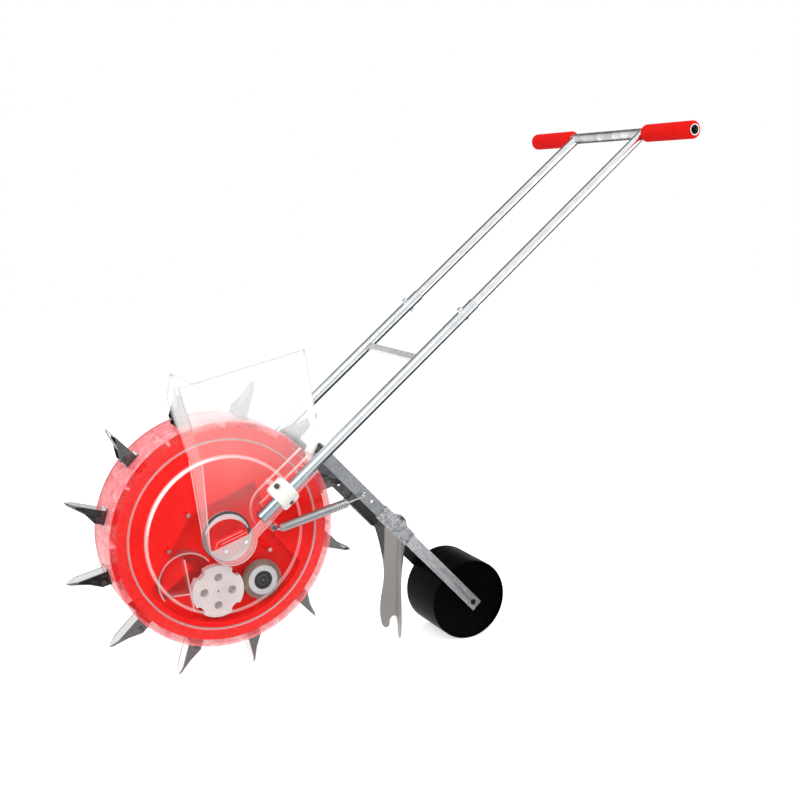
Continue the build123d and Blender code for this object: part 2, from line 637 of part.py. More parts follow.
meter_centre = polar(METER_DISTANCE, METER_ANGLE)
brush_centre = polar(BRUSH_DISTANCE, BRUSH_ANGLE)
with BuildPart() as seed_housing:
    with BuildSketch(side_plane(FLOOR_BACK)):
        Circle(HOUSING_RADIUS)
    extrude(amount=HOUSING_DEPTH)
    with BuildSketch(side_plane(FLOOR_FRONT)) as chamber:
        with BuildLine():
            chamber_outline()
        make_face()
    extrude(amount=HOUSING_DEPTH, mode=Mode.SUBTRACT)
    with BuildSketch(side_plane(FLOOR_BACK)):
        Circle(HOUSING_RADIUS - HOUSING_WALL)
        with BuildSketch(mode=Mode.PRIVATE) as chamber_wall:
            with BuildLine():
                chamber_outline()
            make_face()
            offset(amount=HOUSING_WALL)
        add(chamber_wall.sketch, mode=Mode.SUBTRACT)
    extrude(amount=HOUSING_DEPTH - HOUSING_WALL, mode=Mode.SUBTRACT)
    with BuildSketch(side_plane(FLOOR_BACK + AXLE_BOSS_BACK)):
        Circle(AXLE_BOSS_RADIUS)
    extrude(amount=AXLE_BOSS_BACK + HOUSING_WALL)
    for place in COVER_SCREWS[:2]:
        with BuildSketch(side_plane(HOUSING_NEAR + HOUSING_WALL)):
            with Locations(place):
                Circle(SCREW_POST_RADIUS)
        extrude(amount=PLATEAU_HEIGHT + HOUSING_WALL + SEAM_GAP)
    with BuildSketch(side_plane(FLOOR_FRONT)):
        with Locations(COVER_SCREWS[2]):
            Circle(SCREW_POST_RADIUS)
    extrude(amount=HOUSING_DEPTH - HOUSING_WALL + PLATEAU_HEIGHT + SEAM_GAP)
    with BuildSketch(side_plane(FLOOR_BACK + AXLE_BOSS_BACK)):
        Circle(AXLE_RADIUS + SEAT_GAP)
    extrude(amount=AXLE_BOSS_BACK, mode=Mode.SUBTRACT)
    with BuildSketch(side_plane(FLOOR_BACK)):
        with Locations(meter_centre, brush_centre):
            Circle(SHAFT_RADIUS + RUNNING_FIT)
    extrude(amount=HOUSING_WALL, mode=Mode.SUBTRACT)
    with BuildSketch(side_plane(INLET_FAR, turn=SEED_OUTLET_ANGLE)):
        with Locations(((CHAMBER_RADIUS + HOUSING_RADIUS) / 2, 0)):
            Rectangle(2 * (HOUSING_RADIUS - CHAMBER_RADIUS), SEED_OUTLET_WIDTH)
    extrude(amount=INLET_FAR - INLET_NEAR, mode=Mode.SUBTRACT)
save(seed_housing.part, "seed_housing")

# Clear near cover: a flat rim, a rounded step up to a plateau, the port and the spring's post
profile_plane = Plane(origin=DRUM_CENTRE, x_dir=(1, 0, 0), z_dir=(0, 0, 1))
step_start = PLATEAU_RADIUS - PLATEAU_ROUND
with BuildPart() as near_cover:
    with BuildSketch(profile_plane):
        with BuildLine():
            Polyline((PORT_RADIUS, PLATEAU), (step_start, PLATEAU))
            TangentArc(
                (step_start, PLATEAU),
                (PLATEAU_RADIUS, PLATEAU + PLATEAU_ROUND),
                tangent=(1, 0),
            )
            Polyline(
                (PLATEAU_RADIUS, PLATEAU + PLATEAU_ROUND),
                (PLATEAU_RADIUS, NEAR),
                (COVER_RADIUS, NEAR),
                (COVER_RADIUS, COVER_BACK),
                (PLATEAU_RADIUS - COVER_THICKNESS, COVER_BACK),
                (PLATEAU_RADIUS - COVER_THICKNESS, PLATEAU + PLATEAU_ROUND),
            )
            TangentArc(
                (PLATEAU_RADIUS - COVER_THICKNESS, PLATEAU + PLATEAU_ROUND),
                (step_start, PLATEAU + COVER_THICKNESS),
                tangent=(0, -1),
            )
            Polyline(
                (step_start, PLATEAU + COVER_THICKNESS),
                (PORT_RADIUS, PLATEAU + COVER_THICKNESS),
                (PORT_RADIUS, PLATEAU),
            )
        make_face()
    revolve(axis=DRUM_AXIS)
    with BuildSketch(side_plane(PLATEAU + COVER_THICKNESS)):
        with Locations(POST_AT):
            Circle(POST_RADIUS)
    extrude(amount=POST_HEIGHT + COVER_THICKNESS)
    with BuildSketch(side_plane(PLATEAU + COVER_THICKNESS)):
        with Locations(*COVER_SCREWS):
            Circle(SCREW_SHANK_RADIUS + SEAT_GAP)
    extrude(amount=COVER_THICKNESS, mode=Mode.SUBTRACT)
    with BuildSketch(side_plane(PLATEAU + COVER_THICKNESS)):
        with Locations(POST_AT):
            Circle(SPRING_SCREW_RADIUS + SEAT_GAP)
    extrude(amount=POST_HEIGHT + COVER_THICKNESS, mode=Mode.SUBTRACT)
save(near_cover.part, "near_cover")

# Clear hopper: a flat funnel from a slanted open mouth down to a round port on the drum's axis
arm_start_along = math.sqrt(HOPPER_BOTTOM_RADIUS**2 - HOPPER_ARM_OFFSET**2)


def beside_handle(along, across):
    """Side-view point at a distance along the handle's line and across it, upwards positive."""
    return (along * HANDLE_COS - across * HANDLE_SIN, along * HANDLE_SIN + across * HANDLE_COS)


def stretch(point, towards, extra):
    """Point moved away from another by an extra length."""
    run, rise = point[0] - towards[0], point[1] - towards[1]
    share = extra / math.hypot(run, rise)
    return (point[0] + run * share, point[1] + rise * share)


def hopper_outline(corners, rise):
    """One wall of the hopper in side view, with its mouth raised by a rise."""
    waist, side, left, bend, right = corners
    waist_angle = math.degrees(math.atan2(waist[1], waist[0]))
    left_angle = waist_angle + math.degrees(math.acos(HOPPER_BOTTOM_RADIUS / math.hypot(*waist)))
    left_foot = polar(HOPPER_BOTTOM_RADIUS, left_angle)
    arm_foot = beside_handle(arm_start_along, -HOPPER_ARM_OFFSET)
    arm_end = beside_handle(HOPPER_ARM_LENGTH, -HOPPER_ARM_END_OFFSET)
    arm_angle = 360.0 + math.degrees(math.atan2(arm_foot[1], arm_foot[0]))
    Polyline(
        left_foot,
        waist,
        side,
        stretch(left, side, rise),
        (bend[0], bend[1] + rise),
        stretch(right, HOPPER_SHOULDER, rise),
        HOPPER_SHOULDER,
    )
    ThreePointArc(HOPPER_SHOULDER, HOPPER_LOBE, HOPPER_HIP)
    Polyline(HOPPER_HIP, arm_end, arm_foot)
    ThreePointArc(arm_foot, polar(HOPPER_BOTTOM_RADIUS, (left_angle + arm_angle) / 2), left_foot)


clamp_point = beside_handle(CLAMP_AT, 0)
clamp_places = [beside_handle(CLAMP_AT, side * CLAMP_SCREW_SPAN / 2) for side in (-1, 1)]
hopper_depth = HOPPER_FRONT + HOPPER_BACK
gate_screws = []
for side in (-1, 1):
    tilt = math.radians(GATE_TILT)
    along_gate = side * GATE_SCREW_SPAN / 2 + GATE_SCREW_SHIFT
    gate_screws.append(
        (
            along_gate * math.cos(tilt) + GATE_SCREW_DROP * math.sin(tilt),
            along_gate * math.sin(tilt) - GATE_SCREW_DROP * math.cos(tilt),
        )
    )
rail_sink = TUBE_OFFSET - HOPPER_FRONT - CRADLE_HEIGHT
rib_inner = math.sqrt(LOWER_TUBE_RADIUS**2 - rail_sink**2) + CRADLE_TUBE_GAP
rib_middle = (rib_inner + CRADLE_RAIL) / 2
cradle_top = CRADLE_CENTRE[1] + CRADLE_ROUND
clamp_start = CLAMP_AT - CLAMP_LENGTH / 2 - CRADLE_TUBE_GAP
clamp_end = CLAMP_AT + CLAMP_LENGTH / 2 + CRADLE_TUBE_GAP
with BuildPart() as hopper:
    with BuildSketch(side_plane(HOPPER_BACK)):
        with BuildLine():
            hopper_outline(HOPPER_BACK_CORNERS, 0.0)
        make_face()
    with BuildSketch(side_plane(-HOPPER_FRONT)):
        with BuildLine():
            hopper_outline(HOPPER_FRONT_CORNERS, 0.0)
        make_face()
    loft(ruled=True)
    with BuildSketch(side_plane(HOPPER_BACK - HOPPER_WALL)):
        with BuildLine():
            hopper_outline(HOPPER_BACK_CORNERS, HOPPER_OPENING_RISE)
        make_face()
        offset(amount=-HOPPER_WALL, kind=Kind.INTERSECTION)
    with BuildSketch(side_plane(HOPPER_WALL - HOPPER_FRONT)):
        with BuildLine():
            hopper_outline(HOPPER_FRONT_CORNERS, HOPPER_OPENING_RISE)
        make_face()
        offset(amount=-HOPPER_WALL, kind=Kind.INTERSECTION)
    loft(ruled=True, mode=Mode.SUBTRACT)
    with BuildSketch(side_plane(-HOPPER_FRONT, turn=HANDLE_ANGLE)):
        with BuildLine():
            CenterArc(CRADLE_CENTRE, CRADLE_ROUND, 90.0, CRADLE_SWEEP)
            Line((CRADLE_CENTRE[0], cradle_top), (CRADLE_END, cradle_top))
        trace(line_width=CRADLE_WALL)
        for rail_from, rail_to in ((CRADLE_RIBS[0], clamp_start), (clamp_end, CRADLE_END)):
            with Locations(((rail_from + rail_to) / 2, CRADLE_RAIL)):
                Rectangle(rail_to - rail_from, CRADLE_WALL)
        with Locations(*[(rib, rib_middle) for rib in CRADLE_RIBS]):
            Rectangle(CRADLE_WALL, CRADLE_RAIL - rib_inner)
    extrude(amount=CRADLE_HEIGHT)
    with BuildSketch(side_plane(HOPPER_BACK, turn=GATE_TILT)):
        Circle(HOPPER_PORT_RADIUS)
        with Locations((0, -GATE_DROP - HOPPER_PORT_RADIUS)):
            Rectangle(2 * HOPPER_PORT_RADIUS, 2 * HOPPER_PORT_RADIUS, mode=Mode.SUBTRACT)
    extrude(amount=HOPPER_WALL, mode=Mode.SUBTRACT)
    with BuildSketch(side_plane(HOPPER_BACK)):
        with Locations(*gate_screws):
            Circle(GATE_POST_RADIUS)
    extrude(amount=HOPPER_BACK - GATE_NEAR - GATE_THICKNESS)
    with BuildSketch(side_plane(HOPPER_BACK)):
        with Locations(*clamp_places):
            Circle(2 * CLAMP_SCREW_RADIUS)
    extrude(amount=hopper_depth)
    with BuildSketch(side_plane(-HOPPER_FRONT + CLAMP_SCREW_LENGTH)):
        with Locations(*clamp_places):
            Circle(CLAMP_SCREW_RADIUS + SEAT_GAP)
    extrude(amount=CLAMP_SCREW_LENGTH, mode=Mode.SUBTRACT)
save(hopper.part, "hopper")

# Black seal in the cover's port, against the hopper's back
with BuildPart() as port_seal:
    with BuildSketch(side_plane(HOPPER_BACK + SEAL_THICKNESS)):
        Circle(SEAL_OUTER)
        Circle(SEAL_INNER, mode=Mode.SUBTRACT)
    extrude(amount=SEAL_THICKNESS)
save(port_seal.part, "port_seal")

# Seed gate: a ribbed half disc across the port, screwed to two posts, with the red chute lip above it
with BuildPart() as seed_gate:
    with BuildSketch(side_plane(GATE_NEAR + GATE_THICKNESS, turn=GATE_TILT)):
        Circle(HOPPER_BOTTOM_RADIUS - HOPPER_WALL - SLIDING_GAP)
        with Locations((0, HOPPER_BOTTOM_RADIUS - GATE_DROP)):
            Rectangle(4 * HOPPER_BOTTOM_RADIUS, 2 * HOPPER_BOTTOM_RADIUS, mode=Mode.SUBTRACT)
    extrude(amount=GATE_THICKNESS)
    with BuildSketch(side_plane(GATE_NEAR + GATE_THICKNESS)):
        with Locations(*gate_screws):
            Circle(SCREW_SHANK_RADIUS + SEAT_GAP)
    extrude(amount=GATE_THICKNESS, mode=Mode.SUBTRACT)
    with BuildSketch(side_plane(GATE_NEAR, turn=GATE_TILT)):
        with Locations(*[(rib, GATE_RIB_TOP - GATE_RIB_LENGTH / 2) for rib in GATE_RIBS]):
            Rectangle(GATE_RIB_WIDTH, GATE_RIB_LENGTH)
    extrude(amount=GATE_RIB_HEIGHT)
save(seed_gate.part, "seed_gate")

chute_back = HOPPER_BACK - HOPPER_WALL
with BuildPart() as chute_lip:
    with BuildSketch(side_plane(chute_back, turn=GATE_TILT)):
        with Locations((0, CHUTE_HEIGHT / 2 - GATE_DROP)):
            Rectangle(CHUTE_LENGTH, CHUTE_HEIGHT)
    extrude(amount=chute_back - GATE_NEAR)
    with BuildSketch(side_plane(chute_back - CHUTE_LIP, turn=GATE_TILT)):
        with Locations((0, CHUTE_HEIGHT - GATE_DROP)):
            Rectangle(CHUTE_LENGTH - 2 * CHUTE_LIP, 2 * (CHUTE_HEIGHT - CHUTE_LIP))
    extrude(amount=HOPPER_FRONT, mode=Mode.SUBTRACT)
save(chute_lip.part, "chute_lip")

with BuildPart() as cover_screws:
    for places, seat, grip in (
        (COVER_SCREWS, PLATEAU, COVER_THICKNESS),
        (gate_screws, GATE_NEAR, GATE_THICKNESS),
    ):
        with BuildSketch(side_plane(seat)):
            with Locations(*places):
                Circle(SCREW_HEAD_RADIUS)
        extrude(amount=SCREW_HEAD)
        with BuildSketch(side_plane(seat + grip)):
            with Locations(*places):
                Circle(SCREW_SHANK_RADIUS)
        extrude(amount=grip)
save(cover_screws.part, "cover_screws")

# Clear drop chamber beside the metering wheel: a round wall, a straight partition and a rib
partition_angle = math.degrees(
    math.atan2(PARTITION_FOOT[1] - PARTITION_TOP[1], PARTITION_FOOT[0] - PARTITION_TOP[0])
)
partition_length = math.dist(PARTITION_TOP, PARTITION_FOOT)
partition_middle = (
    (PARTITION_TOP[0] + PARTITION_FOOT[0]) / 2,
    (PARTITION_TOP[1] + PARTITION_FOOT[1]) / 2,
)
rib_end = (
    PARTITION_TOP[0] + DROP_RIB_SHARE * (PARTITION_FOOT[0] - PARTITION_TOP[0]),
    PARTITION_TOP[1] + DROP_RIB_SHARE * (PARTITION_FOOT[1] - PARTITION_TOP[1]),
)
with BuildPart() as drop_chamber:
    with BuildSketch(side_plane(FLOOR_FRONT)):
        with BuildLine():
            CenterArc(DROP_CENTRE, DROP_RADIUS, DROP_FROM, DROP_TO - DROP_FROM)
            offset(amount=DROP_WALL / 2)
        make_face()
        with Locations(Location((*partition_middle, 0), (0, 0, partition_angle))):
            Rectangle(partition_length, DROP_WALL)
        with Locations((rib_end[0] - DROP_RIB_LENGTH / 2, rib_end[1])):
            Rectangle(DROP_RIB_LENGTH, DROP_WALL)
    extrude(amount=FLOOR_FRONT - DROP_NEAR)
    with BuildSketch(side_plane(FLOOR_FRONT)):
        with Locations(DROP_CENTRE):
            Circle(DROP_RADIUS)
    extrude(amount=DROP_WALL / 2)
save(drop_chamber.part, "drop_chamber")

# Metering wheel with its seed cells, on a shaft that carries the pinion
with BuildPart() as metering_wheel:
    with BuildSketch(side_plane(METER_NEAR + METER_WIDTH, *meter_centre)):
        Circle(METER_RADIUS)
        Circle(METER_PILOT, mode=Mode.SUBTRACT)
        with PolarLocations(METER_RADIUS, METER_CELLS, start_angle=180.0 / METER_CELLS):
            SlotOverall(CELL_WIDTH, 2 * CELL_DEPTH, rotation=90, mode=Mode.SUBTRACT)
    extrude(amount=METER_WIDTH)
    with BuildSketch(side_plane(METER_NEAR + METER_WIDTH - METER_HOLE_FLOOR, *meter_centre)):
        with PolarLocations(METER_HOLE_CIRCLE, METER_CELLS):
            Circle(METER_HOLE_RADIUS)
    extrude(amount=METER_WIDTH - METER_HOLE_FLOOR, mode=Mode.SUBTRACT)
    with BuildSketch(side_plane(METER_NEAR + METER_WIDTH, *meter_centre)):
        Circle(SHAFT_RADIUS)
    extrude(amount=METER_WIDTH - METER_CAP, mode=Mode.SUBTRACT)
save(metering_wheel.part, "metering_wheel")

with BuildPart() as metering_shaft:
    with BuildSketch(side_plane(METER_PINION_NEAR + PINION_WIDTH, *meter_centre)):
        Circle(SHAFT_RADIUS)
    extrude(amount=METER_PINION_NEAR + PINION_WIDTH - METER_NEAR - METER_CAP)
save(metering_shaft.part, "metering_shaft")

with BuildPart() as metering_pinion:
    with BuildSketch(side_plane(METER_PINION_NEAR + PINION_WIDTH, *meter_centre)):
        with BuildLine():
            Polyline(*gear_outline(METER_TEETH, METER_ANGLE + 180.0 / METER_TEETH), close=True)
        make_face()
        Circle(SHAFT_RADIUS, mode=Mode.SUBTRACT)
    extrude(amount=PINION_WIDTH)
save(metering_pinion.part, "metering_pinion")

# Brush wheel: bristles on a core, a white flange, a black hub, and a shaft with its pinion
ring_phase = (BRUSH_ANGLE - METER_ANGLE) * RING_TEETH / 360.0
brush_phase = BRUSH_ANGLE + (0.5 - ring_phase % 1.0) * 360.0 / BRUSH_TEETH
bristle_far = BRUSH_NEAR + BRUSH_WIDTH
bristle_width = BRUSH_WIDTH - BRUSH_FLANGE_THICKNESS
row_step = (bristle_width - BRISTLE_SIZE) / BRISTLE_ROWS
strand_length = BRUSH_RADIUS - BRISTLE_ROOT + BRISTLE_SINK
strand_planes = []
for row in range(BRISTLE_ROWS):
    row_y = bristle_far - row_step * (row + 0.5) - BRISTLE_SIZE / 2
    stagger = (row % 2) * 180.0 / BRISTLES_ROUND
    for strand in range(BRISTLES_ROUND):
        turn = math.radians(stagger + strand * 360.0 / BRISTLES_ROUND)
        radial = Vector(math.cos(turn), 0, math.sin(turn))
        foot = DRUM_CENTRE + Vector(brush_centre[0], row_y, brush_centre[1])
        strand_start = foot + radial * (BRISTLE_ROOT - BRISTLE_SINK)
        strand_planes.append(Plane(origin=strand_start, x_dir=(0, 1, 0), z_dir=radial))
with BuildPart() as brush_bristles:
    with BuildSketch(side_plane(bristle_far, *brush_centre)):
        Circle(BRISTLE_ROOT)
        Circle(BRUSH_CORE, mode=Mode.SUBTRACT)
    extrude(amount=bristle_width)
    with BuildSketch(*strand_planes):
        RegularPolygon(BRISTLE_SIZE / 2, 3)
    extrude(amount=strand_length)
save(brush_bristles.part, "brush_bristles")

with BuildPart() as brush_flange:
    with BuildSketch(side_plane(BRUSH_NEAR + BRUSH_FLANGE_THICKNESS, *brush_centre)):
        Circle(BRUSH_FLANGE)
        Circle(BRUSH_HUB, mode=Mode.SUBTRACT)
    extrude(amount=BRUSH_FLANGE_THICKNESS)
    with BuildSketch(side_plane(bristle_far, *brush_centre)):
        Circle(BRUSH_CORE)
        Circle(BRUSH_HUB, mode=Mode.SUBTRACT)
    extrude(amount=bristle_far - BRUSH_NEAR - BRUSH_FLANGE_THICKNESS)
save(brush_flange.part, "brush_flange")

with BuildPart() as brush_hub:
    with BuildSketch(side_plane(bristle_far, *brush_centre)):
        Circle(BRUSH_HUB)
    extrude(amount=bristle_far - BRUSH_NEAR)
    with BuildSketch(side_plane(BRUSH_NEAR, *brush_centre)):
        Circle(SCREW_HEAD_RADIUS)
    extrude(amount=SCREW_HEAD / 2)
    with BuildSketch(side_plane(BRUSH_NEAR + HUB_GROOVE_DEPTH, *brush_centre)):
        Circle(HUB_GROOVE_OUTER)
        Circle(HUB_GROOVE_INNER, mode=Mode.SUBTRACT)
    extrude(amount=HUB_GROOVE_DEPTH, mode=Mode.SUBTRACT)
    with BuildSketch(side_plane(BRUSH_PINION_NEAR + PINION_WIDTH, *brush_centre)):
        Circle(SHAFT_RADIUS)
    extrude(amount=BRUSH_PINION_NEAR + PINION_WIDTH - bristle_far)
save(brush_hub.part, "brush_hub")

with BuildPart() as brush_pinion:
    with BuildSketch(side_plane(BRUSH_PINION_NEAR + PINION_WIDTH, *brush_centre)):
        with BuildLine():
            Polyline(*gear_outline(BRUSH_TEETH, brush_phase), close=True)
        make_face()
        Circle(SHAFT_RADIUS, mode=Mode.SUBTRACT)
    extrude(amount=PINION_WIDTH)
save(brush_pinion.part, "brush_pinion")

# Axle from the housing's boss through the drum's bush to the far bracket and its nut
bracket_near = FAR + BRACKET_RUNNING_GAP
bracket_far = bracket_near + BRACKET_THICKNESS
axle_far = bracket_far + AXLE_NUT + AXLE_END
with BuildPart() as axle:
    with BuildSketch(side_plane(axle_far)):
        Circle(AXLE_RADIUS)
    extrude(amount=axle_far - FLOOR_BACK)
save(axle.part, "axle")

with BuildPart() as far_bracket:
    with BuildSketch(side_plane(bracket_far)):
        with BuildSketch(mode=Mode.PRIVATE) as bracket_ends:
            Circle(BRACKET_HUB)
            with Locations(clamp_point):
                Circle(CLAMP_WIDTH / 2)
        add(make_hull(bracket_ends.sketch.edges(), mode=Mode.PRIVATE))
    extrude(amount=BRACKET_THICKNESS)
    with BuildSketch(side_plane(HOPPER_FRONT, *clamp_point, HANDLE_ANGLE)):
        RectangleRounded(CLAMP_LENGTH, CLAMP_WIDTH, CLAMP_ROUND)
    extrude(amount=HOPPER_FRONT - bracket_far)
    with BuildSketch(side_plane(HOPPER_FRONT)):
        with Locations(*clamp_places):
            Circle(CLAMP_SCREW_RADIUS + SEAT_GAP)
    extrude(amount=CLAMP_SCREW_LENGTH, mode=Mode.SUBTRACT)
    with BuildSketch(side_plane(bracket_far)):
        Circle(AXLE_RADIUS + SEAT_GAP)
    extrude(amount=BRACKET_THICKNESS, mode=Mode.SUBTRACT)
save(far_bracket.part, "far_bracket")

with BuildPart() as axle_nut:
    with BuildSketch(side_plane(bracket_far + AXLE_NUT)):
        RegularPolygon(AXLE_NUT_ACROSS / 2, 6, major_radius=False)
        Circle(AXLE_RADIUS + SEAT_GAP, mode=Mode.SUBTRACT)
    extrude(amount=AXLE_NUT)
save(axle_nut.part, "axle_nut")

# White clamp blocks: a rounded saddle over each handle tube, with two counterbored screws
hump_height = TUBE_OFFSET - HOPPER_FRONT
with BuildPart() as clamp_blocks:
    with BuildSketch(handle_plane(CLAMP_AT - CLAMP_LENGTH / 2, -TUBE_OFFSET)):
        with BuildSketch(mode=Mode.PRIVATE) as saddle:
            with Locations((hump_height - CLAMP_EAR / 2, 0)):
                RectangleRounded(CLAMP_EAR, CLAMP_WIDTH, CLAMP_ROUND)
            Circle(CLAMP_HUMP)
        add(make_hull(saddle.sketch.edges(), mode=Mode.PRIVATE))
        with Locations((hump_height + CLAMP_HUMP, 0)):
            Rectangle(2 * CLAMP_HUMP, 2 * CLAMP_WIDTH, mode=Mode.SUBTRACT)
        Circle(LOWER_TUBE_RADIUS + SEAT_GAP, mode=Mode.SUBTRACT)
    extrude(amount=CLAMP_LENGTH)
    with BuildSketch(side_plane(CLAMP_SEAT, *clamp_point, HANDLE_ANGLE)):
        RectangleRounded(CLAMP_LENGTH, CLAMP_WIDTH, CLAMP_CORNER)
    extrude(amount=hump_height + CLAMP_HUMP, mode=Mode.INTERSECT)
    with BuildSketch(side_plane(CLAMP_SEAT)):
        with Locations(*clamp_places):
            Circle(CLAMP_SCREW_RADIUS + SEAT_GAP)
    extrude(amount=CLAMP_EAR, mode=Mode.SUBTRACT)
    with BuildSketch(side_plane(CLAMP_SEAT - CLAMP_EAR)):
        with Locations(*clamp_places):
            Circle(CLAMP_COUNTERBORE)
    extrude(amount=CLAMP_HUMP, mode=Mode.SUBTRACT)
    mirror(about=Plane.XZ)
save(clamp_blocks.part, "clamp_blocks")

clamp_screw_top = CLAMP_SEAT - CLAMP_EAR
with BuildPart() as clamp_screws:
    with BuildSketch(side_plane(clamp_screw_top)):
        with Locations(*clamp_places):
            Circle(CLAMP_SCREW_HEAD_RADIUS)
    extrude(amount=SCREW_HEAD)
    with BuildSketch(side_plane(CLAMP_SEAT + CLAMP_SCREW_LENGTH)):
        with Locations(*clamp_places):
            Circle(CLAMP_SCREW_RADIUS)
    extrude(amount=CLAMP_EAR + CLAMP_SCREW_LENGTH)
    mirror(about=Plane.XZ)
save(clamp_screws.part, "clamp_screws")


def bolt_plane(height):
    """Plane across the near coupling bolt, at a height above the tube's centre line."""
    return Plane(
        origin=(
            DRUM_X + COUPLING_AT * HANDLE_COS - height * HANDLE_SIN,
            -TUBE_OFFSET,
            DRUM_Z + COUPLING_AT * HANDLE_SIN + height * HANDLE_COS,
        ),
        x_dir=(0, 1, 0),
        z_dir=(-HANDLE_SIN, 0, HANDLE_COS),
    )


with BuildPart() as lower_tubes:
    with BuildSketch(handle_plane(TUBE_START, -TUBE_OFFSET)):
        Circle(LOWER_TUBE_RADIUS)
        Circle(LOWER_TUBE_RADIUS - TUBE_WALL, mode=Mode.SUBTRACT)
    extrude(amount=LOWER_TUBE_END - TUBE_START)
    with BuildSketch(bolt_plane(-2 * LOWER_TUBE_RADIUS)):
        Circle(BOLT_RADIUS + SEAT_GAP)
    extrude(amount=4 * LOWER_TUBE_RADIUS, mode=Mode.SUBTRACT)
    mirror(about=Plane.XZ)
save(lower_tubes.part, "lower_tubes")

bar_x, bar_z = beside_handle(HANDLE_LENGTH, 0)
with BuildPart() as upper_tubes:
    with BuildSketch(handle_plane(UPPER_TUBE_START, -TUBE_OFFSET)):
        Circle(UPPER_TUBE_RADIUS)
        Circle(UPPER_TUBE_RADIUS - TUBE_WALL, mode=Mode.SUBTRACT)
    extrude(amount=HANDLE_LENGTH - UPPER_TUBE_START)
    with BuildSketch(bolt_plane(-2 * LOWER_TUBE_RADIUS)):
        Circle(BOLT_RADIUS + SEAT_GAP)
    extrude(amount=4 * LOWER_TUBE_RADIUS, mode=Mode.SUBTRACT)
    with BuildSketch(side_plane(0, bar_x, bar_z)):
        Circle(BAR_RADIUS)
    extrude(amount=BAR_LENGTH, mode=Mode.SUBTRACT)
    mirror(about=Plane.XZ)
save(upper_tubes.part, "upper_tubes")

with BuildPart() as coupling_bolts:
    for height, radius, length in (
        (LOWER_TUBE_RADIUS, BOLT_HEAD_ACROSS / 2, BOLT_HEAD),
        (-LOWER_TUBE_RADIUS - BOLT_HEAD, BOLT_HEAD_ACROSS / 2, BOLT_HEAD),
    ):
        with BuildSketch(bolt_plane(height)):
            RegularPolygon(radius, 6, major_radius=False)
        extrude(amount=length)
    with BuildSketch(bolt_plane(-LOWER_TUBE_RADIUS - 2 * BOLT_HEAD)):
        Circle(BOLT_RADIUS)
    extrude(amount=2 * LOWER_TUBE_RADIUS + 2 * BOLT_HEAD)
    mirror(about=Plane.XZ)
save(coupling_bolts.part, "coupling_bolts")

with BuildPart() as cross_tube:
    with BuildSketch(side_plane(BAR_LENGTH / 2, bar_x, bar_z)):
        Circle(BAR_RADIUS)
        Circle(BAR_RADIUS - BAR_WALL, mode=Mode.SUBTRACT)
    extrude(amount=BAR_LENGTH)
save(cross_tube.part, "cross_tube")

for name, side in (("near_grip", -1), ("far_grip", 1)):
    grip_end = side * (BAR_LENGTH / 2 - GRIP_RECESS)
    with BuildPart() as grip:
        with BuildSketch(side_plane(max(grip_end, grip_end - side * GRIP_LENGTH), bar_x, bar_z)):
            Circle(GRIP_RADIUS)
        extrude(amount=GRIP_LENGTH)
        fillet(grip.edges().filter_by(GeomType.CIRCLE), GRIP_ROUND / 2)
        with BuildSketch(side_plane(max(grip_end, grip_end - side * GRIP_LENGTH), bar_x, bar_z)):
            Circle(BAR_RADIUS + SEAT_GAP)
        extrude(amount=GRIP_LENGTH, mode=Mode.SUBTRACT)
    save(grip.part, name)

# Channel brace between the lower tubes, open underneath
brace_half = TUBE_OFFSET - LOWER_TUBE_RADIUS
with BuildPart() as brace:
    with BuildSketch(side_plane(brace_half, *beside_handle(BRACE_AT, 0), HANDLE_ANGLE)):
        Rectangle(BRACE_WIDTH, BRACE_HEIGHT)
        with Locations((0, -BRACE_WALL)):
            Rectangle(BRACE_WIDTH - 2 * BRACE_WALL, BRACE_HEIGHT, mode=Mode.SUBTRACT)
    extrude(amount=2 * brace_half)
save(brace.part, "brace")

# Pivot studs on the tubes' inner sides, with a pin through each arm plate and a nut
stud_outer = -TUBE_OFFSET + LOWER_TUBE_RADIUS
pivot_end = -ARM_OFFSET + PIVOT_NUT + THRUST_GAP
with BuildPart() as pivot_studs:
    with BuildSketch(arm_plane(PLATE_OUTER - THRUST_GAP)):
        Circle(STUD_RADIUS)
    extrude(amount=PLATE_OUTER - THRUST_GAP - stud_outer)
    with BuildSketch(arm_plane(pivot_end)):
        Circle(PIVOT_PIN_RADIUS)
    extrude(amount=pivot_end - PLATE_OUTER + THRUST_GAP)
    mirror(about=Plane.XZ)
save(pivot_studs.part, "pivot_studs")

with BuildPart() as pivot_nuts:
    with BuildSketch(arm_plane(pivot_end)):
        RegularPolygon(PIVOT_NUT_ACROSS / 2, 6, major_radius=False)
        Circle(PIVOT_PIN_RADIUS + SEAT_GAP, mode=Mode.SUBTRACT)
    extrude(amount=PIVOT_NUT)
    mirror(about=Plane.XZ)
save(pivot_nuts.part, "pivot_nuts")

# Arm plates: flat bars with a round top end, the spring's hole and a spare hole
for name, side in (("near_arm_plate", -1), ("far_arm_plate", 1)):
    with BuildPart() as arm_plate:
        plate_far = -ARM_OFFSET if side < 0 else ARM_OFFSET + ARM_THICKNESS
        with BuildSketch(arm_plane(plate_far)):
            with Locations((PLATE_LENGTH / 2, 0)):
                Rectangle(PLATE_LENGTH, ARM_WIDTH)
            Circle(ARM_WIDTH / 2)
            Circle(PIVOT_PIN_RADIUS + RUNNING_FIT, mode=Mode.SUBTRACT)
            with Locations((SPRING_HOLE_AT, 0), (SPARE_HOLE_AT, 0)):
                Circle(ARM_HOLE_RADIUS, mode=Mode.SUBTRACT)
        extrude(amount=ARM_THICKNESS)
    save(arm_plate.part, name)

